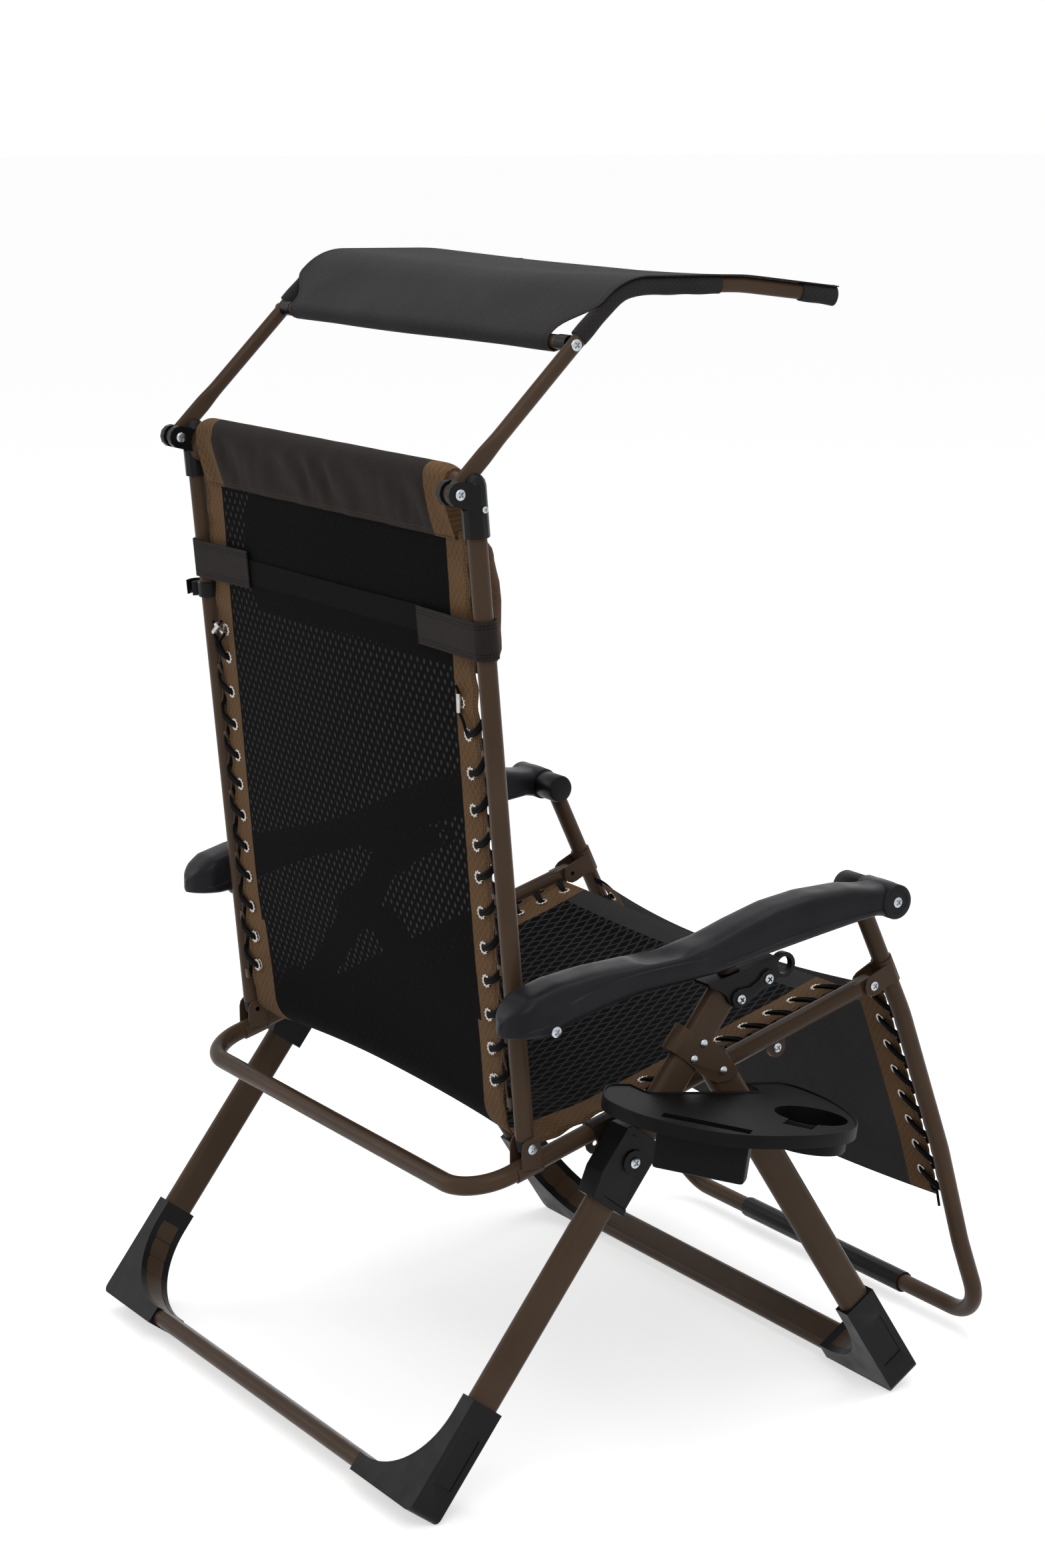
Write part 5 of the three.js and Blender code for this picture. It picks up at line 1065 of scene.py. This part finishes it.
def leg_ripple(x, run, s):
    return pucker(run, 37.0, s) + 1.2 * math.sin(run * 0.012 + x * 0.01) * (1 - abs(s))


def leg_picks(s, half, share, face):
    return 0 if (1 - abs(s)) * half < BIND else 2 - face


leg_rings = path(0, [leg_line(80)[0], KNEE_BEND, SHIN, leg_line(386)[0]], [200, 200])
leg_cloth, leg_run = cloth(
    "leg_cloth", leg_rings, lambda share, point: LEG_HALF, leg_dip, leg_ripple, leg_picks, 56, 2.0,
    mats=[TAN, CHARCOAL, CHARCOAL], body="leg_rest", slot="charcoal_cloth", stands=["leg_panel"],
)

# Canopy: side-view places of its arms' bends, of their tips and of the cross bar
ARM_THIN, ARM_TALL, BLADE_THIN, BLADE_TALL = 6.5, 9.0, 0.42, 0.2
C_ELBOW, C_CROWN, C_TIP, C_BAR = (-128.0, 1349.0), (-285.0, 1345.0), (-411.0, 1328.0), (-65.0, 1290.0)
C_SLOPE, C_TOP, C_FRONT = unit(CANOPY_PIVOT, C_ELBOW), unit(C_ELBOW, C_CROWN), unit(C_CROWN, C_TIP)
C_BENDS, WRAP = [70, 260], ARM_TALL + 1.6
BLADE_RUN, PIVOT_SUNK, PIVOT_DISC = (50, 84), 3.6, (10.6, 7.2)
BAR_RADIUS, PLUG_RADIUS = 8, 8.8
PLUG_LONG, BAR_HALF = 20, SLING_X - ARM_THIN - 0.4
C_SEAM = along(C_BAR, C_SLOPE, 3)


def meet(a, u, b, v):
    """Where the lines through a and b cross."""
    cross = u[0] * v[1] - u[1] * v[0]
    return along(a, u, ((b[0] - a[0]) * v[1] - (b[1] - a[1]) * v[0]) / cross)


def canopy_route(lift, start, past):
    """The canopy's side line at a height over its arms."""
    def raised(p, d):
        return along(p, behind(d), lift)

    elbow = meet(raised(C_ELBOW, C_SLOPE), C_SLOPE, raised(C_ELBOW, C_TOP), C_TOP)
    bow = meet(raised(C_CROWN, C_TOP), C_TOP, raised(C_CROWN, C_FRONT), C_FRONT)
    return [raised(start, C_SLOPE), elbow, bow, raised(along(C_TIP, C_FRONT, past), C_FRONT)]


def canopy_arm(side):
    """A bent arm: flattened to a blade at its pivot, then flat-oval."""
    rings = path(side * SLING_X, (CANOPY_PIVOT, C_ELBOW, C_CROWN, C_TIP), C_BENDS, 0.004)
    loops = []
    for point, tangent in rings:
        blade = 1 - ease((point - rings[0][0]).length / MM, *BLADE_RUN)
        thin, tall = ARM_THIN * (1 - BLADE_THIN * blade) / ARM_TALL, 1 + BLADE_TALL * blade
        normal = X_AXIS.cross(tangent).normalized()
        loops.append([point + normal * p * tall + X_AXIS * q * thin for p, q in oval(ARM_TALL, ARM_TALL, 24)])
    centre = at(side * (SLING_X - PIVOT_SUNK), *CANOPY_PIVOT)
    return merge(skin(loops), disc(centre, X_AXIS * side, *PIVOT_DISC))


def bar_piece(radius, low, high):
    """A length of the canopy's cross bar."""
    return sweep(oval(radius, radius, 24), [(at(x, *C_BAR), X_AXIS) for x in (low, high)], Vector((0, 0, 1)))


for side_name, side in SIDES.items():
    add(f"canopy_tube_{side_name}", canopy_arm(side), PAINT, "canopy", "brown_paint",
        [f"canopy_arm_{side_name}"])
inner_end = BAR_HALF - PLUG_LONG
bar = bar_piece(BAR_RADIUS, -inner_end, inner_end)
add("canopy_bar_tube", bar, PAINT, "canopy", "brown_paint", ["canopy_bar"])
plugs = merge(bar_piece(PLUG_RADIUS, -BAR_HALF, -inner_end), bar_piece(PLUG_RADIUS, inner_end, BAR_HALF))
add("canopy_bar_plugs", plugs, PLASTIC, "canopy", "black_plastic", sharp=40)
for side_name, side in SIDES.items():
    head = screw_head(at(side * (SLING_X + ARM_THIN), -63.5, 1289), side * X_AXIS, 6.4, 2.4)
    add(f"canopy_bar_screw_{side_name}", head, ZINC, "canopy", "zinc_steel", sharp=30)


def bar_wrap():
    """The cloth's path from its stitch line inside the bar, down round it and up again."""
    out = behind(C_SLOPE)
    inside = along(along(C_BAR, out, -WRAP), C_SLOPE, 15)
    rings = [(at(0, *along(inside, C_SLOPE, -d)), -Vector((0, *C_SLOPE))) for d in (0, 5, 10)]
    for t in (math.pi * k / 12 for k in range(13)):
        spot = along(along(C_BAR, out, -WRAP * math.cos(t)), C_SLOPE, -WRAP * math.sin(t))
        rings.append((at(0, *spot), Vector((0, *along(shade(out, math.sin(t)), C_SLOPE, -math.cos(t))))))
    return rings


def canopy_half(share, point):
    """Between the arms at the bar, and past them from a little above it."""
    return 286.0 + (46.0 * ease((point - at(0, *C_SEAM)).length / MM, 8, 52) if share >= 0.09 else 0.0)


def canopy_dip(share, point):
    return -7.0 * ease(share, 0.12, 0.36) * (1 - 0.6 * ease(share, 0.75, 1.0))


def canopy_ripple(x, run, s):
    bar_creases = math.cos(x * 0.05) * math.exp(-((run - 90) / 50) ** 2) * abs(s)
    return 0.9 * math.sin(run * 0.03 + x * 0.012) * (1 - s * s) + 0.8 * bar_creases


canopy_line = bent([at(0, *p) for p in canopy_route(WRAP, C_SEAM, 7)], [80, 270])
canopy, canopy_run = cloth(
    "canopy_sheet", resample(bar_wrap() + canopy_line, CLOTH_STEP), canopy_half, canopy_dip, canopy_ripple,
    lambda *face: 0, 64, 1.4, outside=-1.0, mats=[CHARCOAL], body="canopy", slot="charcoal_cloth",
    stands=["canopy_cloth"],
)


def squeezed(flat, width):
    """A flat map round a thin form, with its round share as metres."""
    return [(u * width, v) for u, v in flat]


def canopy_channels():
    """The sewn channels of the cloth round both arms: one from bar to crown, one at the tip."""
    line = (along(C_BAR, C_SLOPE, 8), C_ELBOW, C_CROWN, along(C_TIP, C_FRONT, 7))
    section = [(p, q * 0.82) for p, q in oval(ARM_TALL + 1.5, ARM_TALL + 1.5, 24)]
    for side_name, side in SIDES.items():
        rings, parts = path(side * SLING_X, line, C_BENDS), []
        for low, high, flare in ((-262, 60, 0.0), (-500, -366, 0.12)):
            part = [ring for ring in rings if low < side_view(ring[0])[0] < high]
            count = len(part)
            sizes = [(1.0 + 0.03 * math.sin(j * 0.9)) * (1.0 + flare * j / count) for j in range(count)]
            parts.append(sweep(section, part, X_AXIS, sizes))
        shape = merge(*parts)
        flat = squeezed(shape[2], 0.06)
        add(f"canopy_channel_{side_name}", shape, CHARCOAL, "canopy", "charcoal_cloth",
            maps={"flat": flat, "edge": flat}, sharp=60)


canopy_channels()

# Pillow and strap
PILLOW_LOW, PILLOW_HIGH, PILLOW_DEEP, PILLOW_HALF, PIPING = 918.0, 1080.0, 84.0, 260.0, 2.6
PILLOW_SPOT = along(back_at((PILLOW_LOW + PILLOW_HIGH) / 2), behind(BACK_UP), -(PILLOW_DEEP / 2 + 1.5))


def full(s, power, root):
    """1 along the middle of the pillow, and 0 at its ends."""
    return max(0.0, 1 - abs(s) ** power) ** root


def pillow_tall(s):
    return (PILLOW_HIGH - PILLOW_LOW) / 2 * (1 - 0.09 * (1 - s * s)) * (0.93 + 0.07 * full(s, 5, 0.5))


def signed_power(value, power):
    return math.copysign(abs(value) ** power, value)


def pillow(stations=72, around=40):
    verts, flat = [], []
    for s in (signed_power(-math.cos(math.pi * i / stations), 0.9) for i in range(stations + 1)):
        deep = PILLOW_DEEP / 2 * (0.2 + 0.8 * full(s, 9, 0.6))
        for a in (TURN * k / around for k in range(around)):
            front, rise = math.cos(a), math.sin(a)
            seam = math.exp(-((abs(rise) - 1) / 0.12) ** 2) * 0.8 * math.sin(s * 60)
            pinch = math.exp(-(abs(s) - 1) ** 2 / 0.006) * 2.4 * math.sin(a * 9 + 1)
            off = signed_power(front, 0.85) * deep + seam + pinch * abs(front)
            up = signed_power(rise, 0.7) * pillow_tall(s)
            verts.append(at(s * PILLOW_HALF, *along(along(PILLOW_SPOT, behind(BACK_UP), -off), BACK_UP, up)))
            flat.append((s * PILLOW_HALF * MM, (math.copysign(up, 1) + off) * MM))
    piece = add("pillow", (verts, walls(stations + 1, around)), TAN_PLAIN, "back", "tan_cloth",
                ["headrest_pillow"], maps={"flat": flat, "edge": flat}, sharp=0)


def pillow_piping():
    def line(places):
        return [at(x, *along(PILLOW_SPOT, BACK_UP, rise)) for x, rise in places]

    shares = [-1 + 2 * i / 60 for i in range(61)]
    lines = [line((s * PILLOW_HALF, way * (pillow_tall(s) + 0.5)) for s in shares) for way in (1, -1)]
    lines += [line((way * (PILLOW_HALF + 0.5), t) for t in np.linspace(-74, 74, 21)) for way in (-1, 1)]
    shape = merge(*[line_sweep(line, PIPING) for line in lines])
    flat = squeezed(shape[2], 0.016)
    add("pillow_piping", shape, TAN_PLAIN, "back", "tan_cloth", maps={"flat": flat, "edge": flat}, sharp=0)


pillow()
pillow_piping()


def ribbon(name, spots, low, high, thick, mat, slot="charcoal_cloth", stands=(), rows=7):
    """A band of cloth between two heights on the back; spots are (sideways, off the back's line)."""
    fine = smooth_line([Vector((x, off, 0)) for x, off in spots], 5)
    verts, flat, edge = [], [], []
    for face in (1, -1):
        for before, p, after, run in zip(fine[:1] + fine, fine, fine[1:] + fine[-1:], runs(fine)):
            d = (after - before).normalized()
            q = p + Vector((d.y, -d.x, 0)) * face * thick / 2
            for z in (low + (high - low) * i / rows for i in range(rows + 1)):
                verts.append(at(q.x, *along(back_at(z), behind(BACK_UP), q.y)))
                flat.append((run * MM, z * MM))
                edge.append((min(z - low, high - z) * MM, run * MM))
    add(name, (verts, closed_sheet(len(fine), rows)[0]), mat, "back", slot, stands,
        maps={"flat": flat, "edge": edge}, sharp=60)


STRAP_GAP, ELASTIC_LOW, ELASTIC_HIGH, ELASTIC_END = 2.6, 971.0, 1001.0, 118
# Heights of the tabs, near and far
TABS = {"right": (958.0, 1001.0), "left": (966.0, 1012.0)}


def strap():
    """Elastic across the rear, with a stitched tab of cloth round each tube."""
    outer, turns = TUBE + STRAP_GAP, [math.pi * k / 12 for k in range(13)]
    front = [(SLING_X - 52, -outer * 0.62), (SLING_X - 24, -outer * 0.9)]
    rear = [(SLING_X - 20, outer * 0.98), (SLING_X - 62, outer * 0.8), (SLING_X - 126, outer * 0.62)]
    tab = front + [(SLING_X + math.sin(a) * outer, -math.cos(a) * outer) for a in turns] + rear
    for side_name, side in SIDES.items():
        spots = [(side * x, off) for x, off in tab]
        ribbon(f"strap_tab_{side_name}", spots, *TABS[side_name], 1.8, TAB_CLOTH,
               stands=["pillow_strap"] if side_name == "right" else ())
    half = SLING_X - ELASTIC_END
    across = [(x, 3.2 * (1 - (x / 292.0) ** 2) + 3.4 + 2.4 * ease(abs(x), 200, 250))
              for x in np.linspace(-half, half, 24)]
    ribbon("strap_elastic", across, ELASTIC_LOW, ELASTIC_HIGH, 1.4, ELASTIC_BAND, "black_elastic")


strap()


# Eyelets, wires and lacing
def seat_spot(y):
    return rail_at(y), RAIL_UP


def back_spot(z):
    way = unit(LAP, SLING_TOP)
    return up_to(LAP, way, z), way


ROWS = {
    "seat": {"line": seat_spot, "places": [-160 - 36.5 * i for i in range(9)], "inset": 274.0,
             "half": SLING_HALF, "dip": 16.0, "body": "seat", "turn": 1},
    "back": {"line": back_spot, "places": [465, 503, 543, 583, 622, 663, 704, 741, 781, 823, 867],
             "inset": 280.0, "half": 301.0, "dip": -8.0, "body": "back", "turn": 1},
    "leg": {"line": leg_line, "places": [95 + 37 * i for i in range(8)], "inset": 278.0,
            "half": LEG_HALF, "dip": 12.0, "body": "leg_rest", "turn": -1},
}
EYELET, EYELET_THICK, EYELET_OFF = 5.5, 1.5, 1.7
CORD_THICK, TAIL_THICK, CORD_APART, CORD_RISE = 2.35, 1.75, 2.3, 4.4
WIRE, WIRE_X, WIRE_DEEP, WIRE_OUT, WIRE_TAB = 1.3, SLING_X - TUBE - 1.6, -1.0, 4.5, oval(1.4, 5.0, 12)


def row_frame(row, place, half=None):
    """An eyelet's side-view place on the cloth, its row's direction and the way off the cloth."""
    spot, way = row["line"](place)
    off = (-way[1], way[0])
    return along(spot, off, row["dip"] * (1 - (row["inset"] / (half or row["half"])) ** 2)), way, off


def off_row(one, run, lift):
    """A side-view place from an eyelet's frame: a run along the row and a lift off the cloth."""
    spot, way, off = one
    return along(along(spot, way, run), off, lift)


def eyelet(x, one, face):
    """The toothed washer, or the smooth ring on the other face."""
    ring, thick = (EYELET, EYELET_THICK) if face < 0 else (EYELET + 0.1, EYELET_THICK - 0.15)
    return torus(at(x, *off_row(one, 0, face * EYELET_OFF)), Vector((0, *one[2])), ring, thick, face < 0)


def add_cord(name, shape, body, stands=()):
    add(name, shape, CORD, body, "black_elastic", stands, maps={"flat": squeezed(shape[2], 0.011)}, sharp=0)


def row_wire(side, frames, pitch):
    """The wire that zigzags along the inner side of the tube, with its flat tabs."""
    zigzag = ((0, -0.5), (-WIRE_OUT, -0.2), (-WIRE_OUT, 0.2))
    bends = [(i, x, move) for i in range(len(frames)) for x, move in zigzag]
    bends = [(0, 0.5, -0.75), *bends, (-1, 0, 0.5)]
    points = [at(side * (WIRE_X + x), *off_row(frames[i], move * pitch, WIRE_DEEP)) for i, x, move in bends]
    parts = [line_sweep(smooth_line(points, 3), WIRE)]
    for i in range(0, len(frames) + 1, 2):
        last = i >= len(frames)
        one, middle = frames[-1 if last else i], (0.5 if last else -0.5) * pitch
        ends = [at(side * WIRE_X, *off_row(one, middle + d, WIRE_DEEP)) for d in (-6, 6)]
        parts.append(sweep(WIRE_TAB, [(end, Vector((0, *one[1]))) for end in ends], X_AXIS))
    return merge(*parts)


def row_cord(side, row, frames, pitch, twin):
    """One strand of the doubled cord: out of each eyelet to the wire and on to the next one."""
    shift, rise = twin * CORD_APART, CORD_RISE * row["turn"]
    hook, fold, hole = WIRE_X - 0.5, row["half"] + 1.0, row["inset"] + 1.6
    route = [(hook, -0.5, 1, 0.5), (fold, -0.22, 1, rise), (hole, 0, 0.5, 0.6 * rise),
             (hole, 0, 0.5, -0.6 * rise), (fold, 0.22, 1, -rise)]
    points = [at(side * x, *off_row(one, move * pitch + near * shift, lift))
              for one in frames for x, move, near, lift in route]
    points.append(at(side * hook, *off_row(frames[-1], 0.5 * pitch + shift, 0)))
    return line_sweep(smooth_line(points, 4), CORD_THICK)


for kind, row in ROWS.items():
    frames = [row_frame(row, place) for place in row["places"]]
    pitch = math.dist(frames[0][0], frames[1][0])
    for side_name, side in SIDES.items():
        for label, face in (("washers", -1), ("rings", 1)):
            rings = merge(*[eyelet(side * row["inset"], one, face) for one in frames])
            add(f"{kind}_eyelet_{label}_{side_name}", rings, CHROME, row["body"], "zinc_steel", sharp=50)
        wire = row_wire(side, frames, pitch)
        add(f"{kind}_wire_{side_name}", wire, PAINT, row["body"], "brown_paint", sharp=40)
        cords = merge(*[row_cord(side, row, frames, pitch, twin) for twin in (-1, 1)])
        add_cord(f"{kind}_cord_{side_name}", cords, row["body"], [f"{kind}_lacing_{side_name}"])

# Cord ends: chrome barrels pulled up at the top of the back rows, knots at the foot of the leg rows
TOGGLE_Z, BARREL, BARREL_HALF, KNOT_RUN = 902, 3.0, 0.011, ROWS["leg"]["places"][-1] + 20


def toggles(side_name, side, eyelet_x, barrel_x, leans):
    """The top eyelet of a back row, with a barrel on the cord for each lean."""
    rear = behind(BACK_UP)
    ring = eyelet(side * eyelet_x, row_frame(ROWS["back"], TOGGLE_Z), -1)
    add(f"top_eyelet_{side_name}", ring, CHROME, "back", "zinc_steel", sharp=50)
    start = at(side * 281, *along(row_frame(ROWS["back"], ROWS["back"]["places"][-1], 292.0)[0], rear, 4))
    parts, cords = [], []
    for k, lean in enumerate(leans):
        place = along(along(back_spot(TOGGLE_Z)[0], BACK_UP, 2 * k), rear, 5.5 + 5 * k)
        middle = at(side * barrel_x, *place)
        way = Vector((math.sin(lean) * side, *shade(BACK_UP, math.cos(lean))))
        low = middle - way * BARREL_HALF
        parts.append(line_sweep([low, middle + way * BARREL_HALF], BARREL, 16))
        slack = start.lerp(middle, 0.5) + Vector((side * 0.004, 0.003, 0))
        tail = middle + way * 0.02 + Vector((side * -0.003, 0.002, 0))
        for route in ([start, slack, low, middle], [middle, middle + way * 0.012, tail]):
            cords.append(line_sweep(smooth_line(route, 4), TAIL_THICK))
    add(f"cord_barrel_{side_name}", merge(*parts), CHROME, "back", "zinc_steel", sharp=40)
    add_cord(f"cord_tail_{side_name}", merge(*cords), "back")


def knot(side_name, side):
    """The cord's knot at the foot of a leg row, with its tail."""
    spot, way = leg_line(KNOT_RUN)
    turns = []
    for t in np.linspace(0, 2 * TURN, 24):
        place = along(along(spot, way, 5.0 * math.sin(t * 1.5)), behind(way), -3 * math.sin(t))
        turns.append(at(side * (294 + 4.5 * math.cos(t)), *place))
    ends = ((0.004, 0.001, -0.012), (0.006, 0.0, -0.024))
    turns += [turns[-1] + Vector((side * x, y, z)) for x, y, z in ends]
    add_cord(f"cord_knot_{side_name}", line_sweep(smooth_line(turns, 2), TAIL_THICK), "leg_rest")


toggles("right", -1, 270, 270, [0.1])
knot("right", -1)
toggles("left", 1, 280, 290, [1.15, -0.95])
knot("left", 1)


# Floor, light and camera
def white_where_seen(tree):
    """1 for rays from the camera and for rays seen in metal and glass."""
    path = tree.nodes.new("ShaderNodeLightPath")
    share = path.outputs["Is Camera Ray"]
    for key in ("Is Glossy Ray", "Is Transmission Ray"):
        both = tree.nodes.new("ShaderNodeMath")
        both.operation = "MAXIMUM"
        tree.links.new(share, both.inputs[0])
        tree.links.new(path.outputs[key], both.inputs[1])
        share = both.outputs[0]
    return share


def floor(reach=90.0):
    mesh = bpy.data.meshes.new("floor")
    corners = [(-reach, -reach, 0), (reach, -reach, 0), (reach, reach, 0), (-reach, reach, 0)]
    mesh.from_pydata(corners, [], [(0, 1, 2, 3)])
    ground = bpy.data.objects.new("floor", mesh)
    bpy.context.scene.collection.objects.link(ground)
    g = Graph("floor_paper", (0.84, 0.84, 0.84), 0.85, shine=0.0)
    g.sockets["Emission Color"].default_value = (1, 1, 1, 1)
    g.feed(g.sockets["Emission Strength"], g.span(white_where_seen(g.mat.node_tree), 0.0, 1.0, 0.0, 0.56))
    mesh.materials.append(g.mat)


def lamp(name, place, aim, size, power):
    data = bpy.data.lights.new(name, "AREA")
    data.shape = "RECTANGLE"
    data.size = data.size_y = size
    data.energy = power
    light = bpy.data.objects.new(name, data)
    light.location = place
    light.rotation_euler = (Vector(aim) - Vector(place)).to_track_quat("-Z", "Y").to_euler()
    bpy.context.scene.collection.objects.link(light)


floor()
lamp("key", (-3.0, 1.6, 4.2), (0, 0, 0.7), 2.6, 62)
lamp("side", (3.4, 3.0, 2.6), (0, 0, 0.7), 2.0, 26)
lamp("top", (0.2, -0.8, 4.6), (0, 0, 0.5), 3.0, 58)

world = bpy.data.worlds.new("room")
bpy.context.scene.world = world
world.use_nodes = True
plain = world.node_tree.nodes["Background"]
plain.inputs["Color"].default_value = (1, 1, 1, 1)
strength = world.node_tree.nodes.new("ShaderNodeMapRange")
strength.inputs["To Min"].default_value = 0.5
world.node_tree.links.new(white_where_seen(world.node_tree), strength.inputs["Value"])
world.node_tree.links.new(strength.outputs[0], plain.inputs["Strength"])

# Viewpoint of the photograph, solved in the drawing's frame
turn, pitch, roll = math.radians(33.038), math.radians(12.870), math.radians(-0.178)
EYE = Vector((-3.1145, 1.8182, 1.5751)) + SHIFT * MM
level = Vector((math.cos(turn), -math.sin(turn), 0))
forward = (level * math.cos(pitch) - Vector((0, 0, math.sin(pitch)))).normalized()
right = forward.cross(Vector((0, 0, 1))).normalized()
up = right.cross(forward)
right, up = right * math.cos(roll) + up * math.sin(roll), up * math.cos(roll) - right * math.sin(roll)
camera_data = bpy.data.cameras.new("camera")
camera_data.sensor_fit = "VERTICAL"
camera_data.sensor_height = 36.0
camera_data.lens = 71.62
camera_data.clip_end = 60
camera = bpy.data.objects.new("camera", camera_data)
camera.matrix_world = Matrix((*[(right[k], up[k], -forward[k], EYE[k]) for k in range(3)], (0, 0, 0, 1)))
bpy.context.scene.collection.objects.link(camera)
bpy.context.scene.camera = camera
bpy.context.scene.view_settings.view_transform = "Standard"
